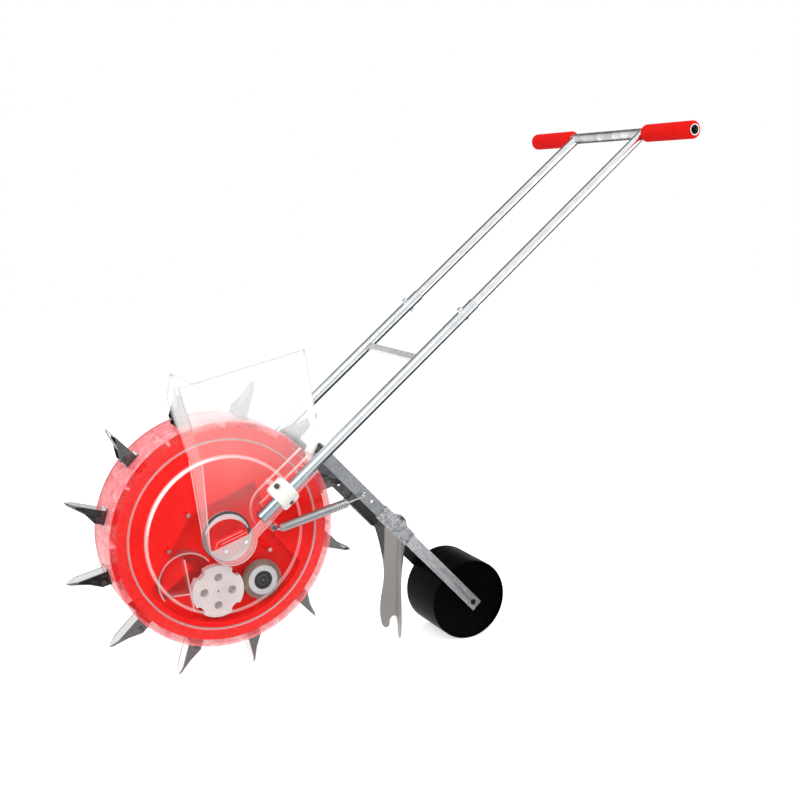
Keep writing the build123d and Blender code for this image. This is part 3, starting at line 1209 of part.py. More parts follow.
for name, side in (("near_arm_bar", -1), ("far_arm_bar", 1)):
    with BuildPart() as arm_bar:
        bar_far = BAR_INNER if side < 0 else ARM_OFFSET
        with BuildSketch(arm_plane(bar_far)):
            with Locations(((BAR_START + ARM_LENGTH + BAR_TAIL) / 2, 0)):
                Rectangle(ARM_LENGTH + BAR_TAIL - BAR_START, ARM_WIDTH)
            with Locations((ARM_LENGTH, 0)):
                Circle(ROLLER_AXLE_RADIUS + SEAT_GAP, mode=Mode.SUBTRACT)
        extrude(amount=ARM_THICKNESS)
    save(arm_bar.part, name)

# Folded sleeves that clamp each plate and bar together, with an ear for the clamping bolt
sleeve_outer = PLATE_OUTER - SLEEVE_WALL
sleeve_half = ARM_WIDTH / 2 + SLEEVE_FIT
sleeve_middle = SLEEVE_START + SLEEVE_LENGTH / 2
ear_top = sleeve_half + SLEEVE_WALL + EAR_HEIGHT
ear_bolt = (EAR_AT, ear_top - EAR_HEIGHT / 2)
with BuildPart() as arm_sleeves:
    with BuildSketch(arm_plane(BAR_INNER)):
        with Locations((sleeve_middle, 0)):
            Rectangle(SLEEVE_LENGTH, 2 * (sleeve_half + SLEEVE_WALL))
    extrude(amount=BAR_INNER - sleeve_outer)
    with BuildSketch(arm_plane(BAR_INNER)):
        with Locations((sleeve_middle, 0)):
            Rectangle(2 * SLEEVE_LENGTH, 2 * sleeve_half)
    extrude(amount=BAR_INNER - PLATE_OUTER, mode=Mode.SUBTRACT)
    with BuildSketch(arm_plane(PLATE_OUTER)):
        Polygon(
            (EAR_AT - EAR_WIDTH / 2, sleeve_half),
            (EAR_AT + EAR_WIDTH / 2, sleeve_half),
            (EAR_AT + EAR_TOP_WIDTH / 2, ear_top),
            (EAR_AT - EAR_TOP_WIDTH / 2, ear_top),
            align=None,
        )
        with Locations(ear_bolt):
            Circle(EAR_BOLT_RADIUS + SEAT_GAP, mode=Mode.SUBTRACT)
    extrude(amount=SLEEVE_WALL)
    hole_along = SLEEVE_START + SLEEVE_LENGTH - 2 * SLEEVE_HOLE_RADIUS
    with BuildSketch(arm_plane(PLATE_OUTER)):
        with Locations((hole_along, ARM_WIDTH / 4), (hole_along, -ARM_WIDTH / 4)):
            Circle(SLEEVE_HOLE_RADIUS)
    extrude(amount=SLEEVE_WALL, mode=Mode.SUBTRACT)
    mirror(about=Plane.XZ)
save(arm_sleeves.part, "arm_sleeves")

with BuildPart() as sleeve_bolts:
    for head_y in (sleeve_outer, PLATE_OUTER + EAR_BOLT_HEAD):
        with BuildSketch(arm_plane(head_y)):
            with Locations(ear_bolt):
                RegularPolygon(EAR_BOLT_ACROSS / 2, 6, major_radius=False)
        extrude(amount=EAR_BOLT_HEAD)
    with BuildSketch(arm_plane(PLATE_OUTER + EAR_BOLT_HEAD + EAR_BOLT_TAIL)):
        with Locations(ear_bolt):
            Circle(EAR_BOLT_RADIUS)
    extrude(amount=EAR_BOLT_HEAD + EAR_BOLT_TAIL + SLEEVE_WALL)
    mirror(about=Plane.XZ)
save(sleeve_bolts.part, "sleeve_bolts")

# Covering plate: two swept wings with prongs, hung from the arm bars by an ear on each side
fork_top_half = -BAR_INNER - FORK_THICKNESS / 2
sweep_angle = math.radians(FORK_SWEEP)
with BuildPart() as covering_plate:
    wing_plane = Plane(
        origin=(DRUM_X + FORK_FOLD_X, 0, DRUM_Z),
        x_dir=(-math.sin(sweep_angle), -math.cos(sweep_angle), 0),
        z_dir=(-math.cos(sweep_angle), math.sin(sweep_angle), 0),
    )
    slant = 1 / math.cos(sweep_angle)
    prong_middle = (FORK_PRONG_OUTER + FORK_PRONG_INNER) / 2 * slant
    notch_spring = FORK_NOTCH_TOP - FORK_PRONG_INNER * slant
    with BuildSketch(wing_plane):
        with BuildLine():
            Polyline((0, FORK_NOTCH_TOP), (0, FORK_TOP), (fork_top_half * slant, FORK_TOP))
            Spline(
                (fork_top_half * slant, FORK_TOP),
                (FORK_NECK[0] * slant, FORK_NECK[1]),
                (FORK_WAIST[0] * slant, FORK_WAIST[1]),
                (FORK_HIP[0] * slant, FORK_HIP[1]),
                (FORK_PRONG_OUTER * slant, FORK_TIP + FORK_PRONG_INNER / 2),
            )
            ThreePointArc(
                (FORK_PRONG_OUTER * slant, FORK_TIP + FORK_PRONG_INNER / 2),
                (prong_middle, FORK_TIP),
                (FORK_PRONG_INNER * slant, FORK_TIP + FORK_PRONG_INNER / 2),
            )
            Line(
                (FORK_PRONG_INNER * slant, FORK_TIP + FORK_PRONG_INNER / 2),
                (FORK_PRONG_INNER * slant, notch_spring),
            )
            TangentArc(
                (FORK_PRONG_INNER * slant, notch_spring),
                (0, FORK_NOTCH_TOP),
                tangent=(0, 1),
            )
        make_face()
    extrude(amount=FORK_THICKNESS)
    with BuildSketch(arm_plane(BAR_INNER + FORK_THICKNESS)):
        with Locations(((FORK_EAR_FROM + FORK_EAR_TO) / 2, 0)):
            Rectangle(FORK_EAR_TO - FORK_EAR_FROM, FORK_EAR_HEIGHT)
    extrude(amount=FORK_THICKNESS)
    mirror(about=Plane.XZ)
save(covering_plate.part, "covering_plate")

# Roller axle, press roller shell and its two end caps
with BuildPart() as roller_axle:
    with BuildSketch(arm_plane(ARM_OFFSET)):
        with Locations((ARM_LENGTH, 0)):
            Circle(ROLLER_AXLE_RADIUS)
    extrude(amount=2 * ARM_OFFSET)
save(roller_axle.part, "roller_axle")

with BuildPart() as press_roller:
    with BuildSketch(arm_plane(ROLLER_WIDTH / 2)):
        with Locations((ARM_LENGTH, 0)):
            Circle(ROLLER_RADIUS)
    extrude(amount=ROLLER_WIDTH)
    chamfer(press_roller.edges().filter_by(GeomType.CIRCLE), ROLLER_ROUND)
    with BuildSketch(arm_plane(ROLLER_WIDTH / 2)):
        with Locations((ARM_LENGTH, 0)):
            Circle(ROLLER_RADIUS - ROLLER_WALL)
    extrude(amount=ROLLER_WIDTH, mode=Mode.SUBTRACT)
save(press_roller.part, "press_roller")

cap_near = -ROLLER_WIDTH / 2 + CAP_RECESS
hub_near = BAR_INNER + THRUST_GAP
with BuildPart() as roller_caps:
    with BuildSketch(arm_plane(cap_near + CAP_THICKNESS)):
        with Locations((ARM_LENGTH, 0)):
            Circle(ROLLER_RADIUS - ROLLER_WALL)
    extrude(amount=CAP_THICKNESS)
    with BuildSketch(arm_plane(cap_near)):
        with Locations((ARM_LENGTH, 0)):
            Circle(CAP_HUB_RADIUS)
    extrude(amount=cap_near - hub_near)
    with BuildSketch(arm_plane(cap_near + CAP_THICKNESS)):
        with Locations((ARM_LENGTH, 0)):
            Circle(ROLLER_AXLE_RADIUS + RUNNING_FIT)
    extrude(amount=cap_near + CAP_THICKNESS - hub_near, mode=Mode.SUBTRACT)
    mirror(about=Plane.XZ)
save(roller_caps.part, "roller_caps")

# Spring screw on the cover's post, whose head keeps the spring's hook on
screw_head_y = SPRING_Y - SPRING_WIRE - SLIDING_GAP
with BuildPart() as spring_screw:
    with BuildSketch(side_plane(screw_head_y)):
        with Locations(POST_AT):
            Circle(SPRING_SCREW_HEAD_RADIUS)
    extrude(amount=SPRING_SCREW_HEAD)
    with BuildSketch(side_plane(PLATEAU + COVER_THICKNESS)):
        with Locations(POST_AT):
            Circle(SPRING_SCREW_RADIUS)
    extrude(amount=PLATEAU + COVER_THICKNESS - screw_head_y)
save(spring_screw.part, "spring_screw")

# Tension spring: a hook round the screw, close coils, and a straight end bent into the arm's hole
post = DRUM_CENTRE + Vector(POST_AT[0], SPRING_Y, POST_AT[1])
hole = DRUM_CENTRE + Vector(
    PIVOT_X + SPRING_HOLE_AT * ARM_COS, SPRING_Y, PIVOT_Z + SPRING_HOLE_AT * ARM_SIN
)
reach = (hole - post).length
lean = math.asin(HOOK_RADIUS / reach)
line_angle = math.atan2((hole - post).Z, (hole - post).X) + lean
along = Vector(math.cos(line_angle), 0, math.sin(line_angle))
upward = Vector(-math.sin(line_angle), 0, math.cos(line_angle))
across = Vector(0, 1, 0)
hook_exit = post - upward * HOOK_RADIUS
coil_start = hook_exit + along * HOOK_LEAD
coil_length = SPRING_PITCH * SPRING_TURNS


def coil_point(turns):
    """Point on the coil's centre line after a number of turns."""
    turn = 2 * math.pi * turns
    radial = upward * math.cos(turn) + across * math.sin(turn)
    return coil_start + along * (HOOK_LEAD + SPRING_PITCH * turns) + radial * SPRING_COIL


def coil_tangent(turns):
    """Direction of the coil's centre line after a number of turns."""
    turn = 2 * math.pi * turns
    sideways = across * math.cos(turn) - upward * math.sin(turn)
    return (along * SPRING_PITCH + sideways * (2 * math.pi * SPRING_COIL)).normalized()


def add_biarc(start, start_way, end, end_way):
    """Two arcs that leave start along start_way, join smoothly, and reach end along end_way."""
    chord = end - start
    both = start_way + end_way
    spread = 2 * (1 - start_way.dot(end_way))
    lean_in = chord.dot(both)
    reach_out = (math.sqrt(lean_in**2 + spread * chord.dot(chord)) - lean_in) / spread
    joint = (start + start_way * reach_out + end - end_way * reach_out) * 0.5
    first = TangentArc(start, joint, tangent=start_way)
    TangentArc(joint, end, tangent=first % 1)


coil_end = coil_start + along * (2 * HOOK_LEAD + coil_length)
bend_start = hole - along * HOOK_BEND
bend_end = hole + across * HOOK_BEND
hook_steps = [HOOK_SWEEP, HOOK_SWEEP / 2, 0.0]
hook_points = []
for step in hook_steps:
    angle = math.radians(step)
    hook_points.append(post - (upward * math.cos(angle) + along * math.sin(angle)) * HOOK_RADIUS)
with BuildPart() as tension_spring:
    with BuildLine() as spring_path:
        ThreePointArc(*hook_points)
        Line(hook_exit, coil_start)
        add_biarc(coil_start, along, coil_point(0), coil_tangent(0))
        for half_turn in range(2 * SPRING_TURNS):
            turns = half_turn / 2
            add_biarc(
                coil_point(turns),
                coil_tangent(turns),
                coil_point(turns + 0.5),
                coil_tangent(turns + 0.5),
            )
        add_biarc(coil_point(SPRING_TURNS), coil_tangent(SPRING_TURNS), coil_end, along)
        Line(coil_end, bend_start)
        ThreePointArc(
            bend_start,
            bend_start + along * (HOOK_BEND * math.sin(math.pi / 4))
            + across * (HOOK_BEND * (1 - math.cos(math.pi / 4))),
            bend_end,
        )
        Line(bend_end, bend_end + across * (-ARM_OFFSET - SPRING_Y - HOOK_BEND + ARM_THICKNESS))
    spring_wire = spring_path.wires()[0]
    with BuildSketch(Plane(origin=spring_wire @ 0, z_dir=spring_wire % 0)):
        Circle(SPRING_WIRE)
    sweep(path=spring_wire)
save(tension_spring.part, "tension_spring")

# Least gap between the spring's own turns, from points along its centre line
turn_samples = 48
gap_samples = [coil_point(step / turn_samples) for step in range(4 * turn_samples)]
least_gap = min(
    (gap_samples[first] - gap_samples[second]).length - 2 * SPRING_WIRE
    for first in range(turn_samples)
    for second in range(first + turn_samples // 2, len(gap_samples))
)
print("spring least gap to itself, mm:", round(least_gap, 2))
wire_volume = math.pi * SPRING_WIRE**2 * spring_wire.length
print("spring volume over section times length:", round(tension_spring.part.volume / wire_volume, 3))
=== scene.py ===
import json
import math

import bpy
import numpy as np
from mathutils import Matrix, Vector


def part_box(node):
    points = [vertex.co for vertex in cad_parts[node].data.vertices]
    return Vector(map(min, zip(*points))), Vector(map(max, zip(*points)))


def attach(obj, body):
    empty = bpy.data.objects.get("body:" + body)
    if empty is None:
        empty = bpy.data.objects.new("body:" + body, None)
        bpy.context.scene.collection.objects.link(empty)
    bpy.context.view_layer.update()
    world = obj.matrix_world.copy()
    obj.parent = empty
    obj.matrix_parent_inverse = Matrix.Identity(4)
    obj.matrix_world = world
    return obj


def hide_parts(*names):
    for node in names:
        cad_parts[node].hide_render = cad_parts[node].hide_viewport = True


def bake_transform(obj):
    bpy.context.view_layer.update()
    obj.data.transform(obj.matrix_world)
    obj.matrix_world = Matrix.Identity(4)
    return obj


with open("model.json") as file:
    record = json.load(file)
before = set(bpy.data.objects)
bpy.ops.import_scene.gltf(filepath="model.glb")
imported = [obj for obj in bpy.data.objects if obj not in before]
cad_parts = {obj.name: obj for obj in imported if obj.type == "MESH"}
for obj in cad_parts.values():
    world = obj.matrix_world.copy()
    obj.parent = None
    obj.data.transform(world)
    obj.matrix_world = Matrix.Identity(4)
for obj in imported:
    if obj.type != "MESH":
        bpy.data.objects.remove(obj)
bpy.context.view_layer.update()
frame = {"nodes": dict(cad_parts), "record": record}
nodes = frame["nodes"]
SEED = 11
MM = 0.001

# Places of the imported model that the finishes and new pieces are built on, read from its nodes
drum_low, drum_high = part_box("drum_pan")
DRUM_X = (drum_low.x + drum_high.x) / 2
DRUM_Z = (drum_low.z + drum_high.z) / 2
brush_low, brush_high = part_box("brush_bristles")
BRUSH_AT = ((brush_low.x + brush_high.x) / 2, (brush_low.z + brush_high.z) / 2)
BRUSH_RADIUS = (brush_high.x - brush_low.x) / 2
bar_low, bar_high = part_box("cross_tube")
BAR_X = (bar_low.x + bar_high.x) / 2
BAR_Z = (bar_low.z + bar_high.z) / 2
BAR_RADIUS = (bar_high.x - bar_low.x) / 2

# Camera of the photograph: place, aim and lens
CAMERA_FROM_DRUM = Vector((-0.6582, -2.0493, 0.5954))
CAMERA_AZIMUTH = -27.023
CAMERA_ELEVATION = 9.222
CAMERA_ROLL = 1.0
CAMERA_SENSOR = 36.0
CAMERA_FOCAL_PIXELS = 1158.0
IMAGE_PIXELS = 800.0

# Directions of the drawing lines in metal: along the handle, along the arm, and upright
HANDLE_TURN = math.radians(41.1)
ARM_TURN = math.radians(-44.9)
UPRIGHT_TURN = math.pi / 2

# Duckbill plates: half width up to the shoulder, and at the nose, and the width of the painted shade along
# their long edges
BILL_SHOULDER = 270.0 * MM
BILL_NOSE = 288.0 * MM
BILL_HALF = 18.0 * MM
BILL_NOSE_HALF = 4.0 * MM
BILL_SHADE_SHARE = 0.08

# Radii from the drum's axle where a finish changes
RIBS_END = 185.0 * MM
RIBS_FADE = 8.0 * MM
COVER_BAND = 177.6 * MM
COVER_BAND_FADE = 1.0 * MM
HAZE_INSIDE = 204.0 * MM
HAZE_OUTSIDE = 228.0 * MM

# Radii from the brush's axle: the hub's screw and its turned ring
HUB_SCREW = 2.6 * MM
HUB_RING = 8.0 * MM
HUB_STEP = 0.8 * MM

# Places along the axle, from the middle plane, where a finish changes
FOLD_FROM = 36.0 * MM
FOLD_FADE = 4.0 * MM
SCREW_ON_COVER = 74.0 * MM
SCREW_ON_GATE = 80.0 * MM
CHAMBER_EDGE = -49.0 * MM

# Heights where a finish changes
FOLD_LOW = DRUM_Z - 128.0 * MM
FOLD_RISE = 25.0 * MM
DARKENING_LOW = DRUM_Z + 20.0 * MM
DARKENING_HIGH = DRUM_Z + 260.0 * MM
HAZE_LOW = DRUM_Z + 20.0 * MM
HAZE_HIGH = DRUM_Z + 160.0 * MM
HAZE_WALL_RISE = 200.0 * MM

# Textures: the part of a noise's range that is used, depths of bump, and scales that finishes share
GRAIN_SPAN = (0.3, 0.7)
STREAK_SPAN = (0.25, 0.75)
SPANGLE_SPAN = (0.2, 0.8)
SPANGLE_CELLS = 0.55
SPANGLE_NOISE = 0.45
GRAIN_DEPTH = 0.2 * MM
LINE_DEPTH = 0.1 * MM
COLOUR_CLOUD = 18.0
POLISH_SCALE = 60.0
FINE_SPANGLE = 420.0
TUBE_SPANGLE = 70.0
TUBE_ACROSS = 700.0
TUBE_ALONG = 9.0
TUBE_BUMP = 0.12

# Clear plastic: tints, the painted glow in its edges, its cloudy film, and the side that its painted edge
# highlight faces
WHITE_HAZE = (0.96, 0.96, 0.95)
SOFT_EDGE = (0.90, 0.88, 0.88)
PINK_HAZE = (0.96, 0.84, 0.84)
BLACK = (0.0, 0.0, 0.0)
PLASTIC_IOR = 1.49
PLASTIC_SPECULAR = 0.3
# Strength of the faint painted glow that every clear piece gives off
EDGE_GLOW = 0.08
FILM_TURN = 0.5
FILM_CLOUD = 14.0
FILM_SPREAD = 0.15
HIGHLIGHT_SIDE = (-0.5, -0.707, 0.5)
# Colour of the rim's faint painted glow
RIM_GLOW = (0.95, 0.30, 0.33, 1.0)
RIM_STOPS = (
    (0.06, (0.30, 0.07, 0.07, 1.0)),
    (0.16, (0.84, 0.14, 0.16, 1.0)),
    (0.62, (0.94, 0.34, 0.37, 1.0)),
    (0.94, (0.96, 0.64, 0.67, 1.0)),
)


def drum_point(x, y, z):
    """Point in metres from millimetres measured at the drum's centre."""
    return np.array([DRUM_X + x * MM, y * MM, DRUM_Z + z * MM])


# Mesh makers


def grid_faces(rows, columns, wrap_rows=False, wrap_columns=False):
    """Quads of a rows by columns grid of points, joined round where a direction is closed."""
    row_count = rows if wrap_rows else rows - 1
    column_count = columns if wrap_columns else columns - 1
    row, column = np.meshgrid(np.arange(row_count), np.arange(column_count), indexing="ij")
    next_row = (row + 1) % rows
    next_column = (column + 1) % columns
    quads = np.stack(
        [
            row * columns + column,
            row * columns + next_column,
            next_row * columns + next_column,
            next_row * columns + column,
        ],
        axis=-1,
    )
    return quads.reshape(-1, 4)


def make_piece(name, points, quads, material, body, smooth=True):
    """Object at the origin from arrays of points and quads, riding on a body if one is named."""
    mesh = bpy.data.meshes.new(name)
    points = np.asarray(points, np.float32).reshape(-1, 3)
    mesh.vertices.add(len(points))
    mesh.vertices.foreach_set("co", points.ravel())
    mesh.loops.add(quads.size)
    mesh.loops.foreach_set("vertex_index", quads.ravel().astype(np.int32))
    mesh.polygons.add(len(quads))
    mesh.polygons.foreach_set("loop_start", np.arange(0, quads.size, 4, dtype=np.int32))
    mesh.polygons.foreach_set("loop_total", np.full(len(quads), 4, np.int32))
    mesh.polygons.foreach_set("use_smooth", np.full(len(quads), smooth, bool))
    mesh.update(calc_edges=True)
    mesh.validate()
    piece = bpy.data.objects.new(name, mesh)
    bpy.context.scene.collection.objects.link(piece)
    mesh.materials.append(material)
    if body:
        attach(piece, body)
    return piece


def lathe_points(profile, centre_x, centre_z, turns=96):
    """Closed profile (radius, depth) carried round an axis along Y: x = r cos a, z = r sin a."""
    profile = np.asarray(profile, float)
    angle = np.linspace(0, 2 * np.pi, turns, endpoint=False)
    radius = profile[:, 0][None, :]
    depth = np.broadcast_to(profile[:, 1][None, :], (turns, len(profile)))
    x = centre_x + radius * np.cos(angle)[:, None]
    z = centre_z + radius * np.sin(angle)[:, None]
    return np.stack([x, depth, z], axis=-1)


def rounded_section(inner, outer, near, far, round_radius, steps=6):
    """Closed (radius, depth) outline of a ring with rounded outer corners."""
    angle = np.linspace(0, np.pi / 2, steps)
    far_corner = np.stack(
        [
            outer - round_radius + round_radius * np.sin(angle),
            far - round_radius + round_radius * np.cos(angle),
        ],
        axis=-1,
    )
    near_corner = np.stack(
        [
            outer - round_radius + round_radius * np.cos(angle),
            near + round_radius - round_radius * np.sin(angle),
        ],
        axis=-1,
    )
    ends = np.array([[inner, near], [inner, far]])
    return np.concatenate([ends, far_corner, near_corner])


def tube_points(path, normal, radius, sides):
    """Circle of a radius carried along a path: p + r (n cos a + b sin a), b = tangent x n."""
    tangent = np.gradient(path, axis=0)
    tangent /= np.linalg.norm(tangent, axis=1, keepdims=True)
    normal = normal - tangent * np.sum(normal * tangent, axis=1, keepdims=True)
    normal /= np.linalg.norm(normal, axis=1, keepdims=True)
    binormal = np.cross(tangent, normal)
    angle = np.linspace(0, 2 * np.pi, sides, endpoint=False)
    around = (
        normal[:, None, :] * np.cos(angle)[None, :, None]
        + binormal[:, None, :] * np.sin(angle)[None, :, None]
    )
    return path[:, None, :] + radius * around


def edge_tubes(lines, radius, sides=8):
    """Round rods along lines of points in millimetres from the drum's axle, each as tube_points."""
    points, quads, count = [], [], 0
    # A direction that no rod runs along, to start each circle from
    sideways = np.array([0.3, 0.5, 0.8])
    for line in lines:
        path = np.asarray(line, float) * MM + np.array([DRUM_X, 0.0, DRUM_Z])
        tube = tube_points(path, np.broadcast_to(sideways, path.shape), radius, sides)
        points.append(tube.reshape(-1, 3))
        quads.append(grid_faces(len(path), sides, wrap_columns=True) + count)
        count += len(path) * sides
    return np.concatenate(points), np.concatenate(quads)


def at_depth(corners, depth):
    """Points (x, z) placed at a depth, as rows (x, depth, z)."""
    corners = np.asarray(corners, float)
    return np.stack([corners[:, 0], np.full(len(corners), depth), corners[:, 1]], axis=-1)


# Shader nodes


def feed(tree, source, socket):
    """Link an output to a socket, or set the socket where the source is a plain value."""
    if isinstance(source, bpy.types.NodeSocket):
        tree.links.new(source, socket)
    else:
        socket.default_value = source


def math_of(tree, operation, first, second=0.0, third=0.0, clamp=False):
    """Math node on outputs or plain numbers."""
    node = tree.nodes.new("ShaderNodeMath")
    node.operation = operation
    node.use_clamp = clamp
    for source, socket in zip((first, second, third), node.inputs):
        feed(tree, source, socket)
    return node.outputs["Value"]


def vector_of(tree, operation, first, second=(0.0, 0.0, 0.0), output="Vector"):
    """Vector Math node on outputs or plain vectors."""
    node = tree.nodes.new("ShaderNodeVectorMath")
    node.operation = operation
    feed(tree, first, node.inputs[0])
    feed(tree, second, node.inputs[1])
    return node.outputs[output]


def map_of(tree, value, from_low, from_high, to_low=0.0, to_high=1.0, eased=False):
    """Value mapped from one range to another, straight or eased, and held at its ends."""
    node = tree.nodes.new("ShaderNodeMapRange")
    if eased:
        node.interpolation_type = "SMOOTHSTEP"
    feed(tree, value, node.inputs["Value"])
    feed(tree, from_low, node.inputs["From Min"])
    feed(tree, from_high, node.inputs["From Max"])
    feed(tree, to_low, node.inputs["To Min"])
    feed(tree, to_high, node.inputs["To Max"])
    return node.outputs["Result"]


def noise_of(tree, place, scale, detail):
    """Noise at a place."""
    noise = tree.nodes.new("ShaderNodeTexNoise")
    feed(tree, place, noise.inputs["Vector"])
    feed(tree, scale, noise.inputs["Scale"])
    feed(tree, detail, noise.inputs["Detail"])
    return noise.outputs["Fac"]


def coordinates(tree, output):
    """One of the Texture Coordinate outputs."""
    return tree.nodes.new("ShaderNodeTexCoord").outputs[output]


def one_axis(tree, output, axis):
    """One axis of a Texture Coordinate output."""
    axes = tree.nodes.new("ShaderNodeSeparateXYZ")
    tree.links.new(coordinates(tree, output), axes.inputs["Vector"])
    return axes.outputs[axis]


def product_of(tree, first, second):
    """Two values multiplied."""
    return math_of(tree, "MULTIPLY", first, second)


def larger_of(tree, first, second):
    """The larger of two values."""
    return math_of(tree, "MAXIMUM", first, second)


def rise_with_height(tree, low, high, foot, top):
    """Value that climbs smoothly from foot to top between two heights of object coordinates."""
    return map_of(tree, one_axis(tree, "Object", "Z"), low, high, foot, top, eased=True)


def painted_edge_highlight(tree, towards, start, full, strength):
    """Painted highlight on rounded edges, standing for a lamp's gleam: high where the object's normal points
    towards a fixed direction.
    """
    facing = vector_of(tree, "DOT_PRODUCT", coordinates(tree, "Normal"), towards, output="Value")
    return map_of(tree, facing, start, full, 0.0, strength, eased=True)


def front_of(tree, depth, value):
    """A value kept where object Y is nearer than a depth, and 0 behind it."""
    nearer = math_of(tree, "LESS_THAN", one_axis(tree, "Object", "Y"), depth)
    return product_of(tree, nearer, value)


def beyond_radius(tree, start, full, top, foot=0.0, centre=(DRUM_X, DRUM_Z)):
    """Foot to top as the distance from an axle, |(x - x0, z - z0)|, goes from start to full."""
    from_axle = vector_of(tree, "SUBTRACT", coordinates(tree, "Object"), (centre[0], 0.0, centre[1]))
    flat = vector_of(tree, "MULTIPLY", from_axle, (1.0, 0.0, 1.0))
    distance = vector_of(tree, "LENGTH", flat, output="Value")
    return map_of(tree, distance, start, full, foot, top)


def step_along(tree, output, axis, low, high, top=1.0, foot=0.0):
    """Foot to top as the size of a coordinate output's axis goes from low to high."""
    size = math_of(tree, "ABSOLUTE", one_axis(tree, output, axis))
    return map_of(tree, size, low, high, foot, top)


# Shader groups


def start_group(name, inputs, outputs):
    """Empty shader group with float inputs (name, default) and float outputs."""
    group = bpy.data.node_groups.new(name, "ShaderNodeTree")
    for socket_name, default in inputs:
        socket = group.interface.new_socket(socket_name, in_out="INPUT", socket_type="NodeSocketFloat")
        socket.default_value = default
    for socket_name in outputs:
        group.interface.new_socket(socket_name, in_out="OUTPUT", socket_type="NodeSocketFloat")
    entry = group.nodes.new("NodeGroupInput")
    leave = group.nodes.new("NodeGroupOutput")
    return group, entry.outputs, leave.inputs


def make_grain_group():
    """Even fine grain: noise on object coordinates, mapped between Low and High, and its height."""
    group, entry, leave = start_group(
        "fine_grain", [("Scale", 400.0), ("Low", 0.3), ("High", 0.5)], ["Value", "Height"]
    )
    noise = noise_of(group, coordinates(group, "Object"), entry["Scale"], detail=3.0)
    value = map_of(group, noise, *GRAIN_SPAN, entry["Low"], entry["High"])
    group.links.new(value, leave["Value"])
    group.links.new(noise, leave["Height"])
    return group


def make_streak_group():
    """Drawing lines: noise stretched along one direction of object coordinates by turned mapping."""
    group, entry, leave = start_group(
        "drawn_streaks",
        [("Turn", 0.0), ("Across", 900.0), ("Along", 12.0), ("Low", 0.2), ("High", 0.4)],
        ["Value", "Height"],
    )
    turn = group.nodes.new("ShaderNodeVectorRotate")
    turn.rotation_type = "Y_AXIS"
    group.links.new(coordinates(group, "Object"), turn.inputs["Vector"])
    group.links.new(entry["Turn"], turn.inputs["Angle"])
    stretch = group.nodes.new("ShaderNodeCombineXYZ")
    for axis, source in (("X", "Along"), ("Y", "Across"), ("Z", "Across")):
        group.links.new(entry[source], stretch.inputs[axis])
    place = vector_of(group, "MULTIPLY", turn.outputs["Vector"], stretch.outputs["Vector"])
    noise = noise_of(group, place, scale=1.0, detail=2.0)
    value = map_of(group, noise, *STREAK_SPAN, entry["Low"], entry["High"])
    group.links.new(value, leave["Value"])
    group.links.new(noise, leave["Height"])
    return group


def make_spangle_group():
    """Zinc spangle: Voronoi cells with their own brightness, softened by noise."""
    group, entry, leave = start_group(
        "zinc_spangle", [("Scale", 120.0), ("Dark", 0.8), ("Bright", 1.0)], ["Value"]
    )
    place = coordinates(group, "Object")
    cells = group.nodes.new("ShaderNodeTexVoronoi")
    group.links.new(place, cells.inputs["Vector"])
    group.links.new(entry["Scale"], cells.inputs["Scale"])
    split = group.nodes.new("ShaderNodeSeparateColor")
    group.links.new(cells.outputs["Color"], split.inputs["Color"])
    noise = product_of(group, noise_of(group, place, entry["Scale"], detail=4.0), SPANGLE_NOISE)
    blend = math_of(group, "MULTIPLY_ADD", split.outputs["Red"], SPANGLE_CELLS, noise)
    value = map_of(group, blend, *SPANGLE_SPAN, entry["Dark"], entry["Bright"])
    group.links.new(value, leave["Value"])
    return group


grain_group = make_grain_group()
streak_group = make_streak_group()
spangle_group = make_spangle_group()

# Colour sockets of the Mix node, which names them as it names its number sockets
MIX_FIRST = 6
MIX_SECOND = 7
MIX_RESULT = 2


# Kinds of finish


def start_material(name, **values):
    """Material with one Principled shader whose plain sockets are set from values."""
    material = bpy.data.materials.new(name)
    material.use_nodes = True
    shader = material.node_tree.nodes["Principled BSDF"]
    for socket, value in values.items():
        shader.inputs[socket.replace("_", " ")].default_value = value
    return material, material.node_tree, shader


def add_group(tree, group, **values):
    """Shader group placed in a material with its own values."""
    node = tree.nodes.new("ShaderNodeGroup")
    node.node_tree = group
    for socket, value in values.items():
        node.inputs[socket].default_value = value
    return node


def tint_by(tree, shader, value, dark, bright, socket="Base Color"):
    """A colour socket, mixed from dark to bright by a value from 0 to 1."""
    mix = tree.nodes.new("ShaderNodeMix")
    mix.data_type = "RGBA"
    mix.inputs[MIX_FIRST].default_value = (*dark, 1.0)
    mix.inputs[MIX_SECOND].default_value = (*bright, 1.0)
    tree.links.new(value, mix.inputs[0])
    tree.links.new(mix.outputs[MIX_RESULT], shader.inputs[socket])


def roughen(tree, shader, texture, bump, depth):
    """Roughness, and a bump of a small depth in metres, from one texture group."""
    tree.links.new(texture.outputs["Value"], shader.inputs["Roughness"])
    relief = tree.nodes.new("ShaderNodeBump")
    relief.inputs["Strength"].default_value = bump
    relief.inputs["Distance"].default_value = depth
    tree.links.new(texture.outputs["Height"], relief.inputs["Height"])
    tree.links.new(relief.outputs["Normal"], shader.inputs["Normal"])


def add_grain(tree, shader, scale, low, high, bump, depth=GRAIN_DEPTH):
    """Fine grain, as roughness from low to high and as bump."""
    grain = add_group(tree, grain_group, Scale=scale, Low=low, High=high)
    roughen(tree, shader, grain, bump, depth)


def add_streaks(tree, shader, low, high, turn, across, along, bump):
    """Drawing lines, as roughness from low to high and as bump."""
    streak = add_group(tree, streak_group, Turn=turn, Across=across, Along=along, Low=low, High=high)
    roughen(tree, shader, streak, bump, LINE_DEPTH)


def add_polish(tree, shader, low, high):
    """Smooth surface, with roughness from low to high and no bump."""
    polish = add_group(tree, grain_group, Scale=POLISH_SCALE, Low=low, High=high)
    tree.links.new(polish.outputs["Value"], shader.inputs["Roughness"])


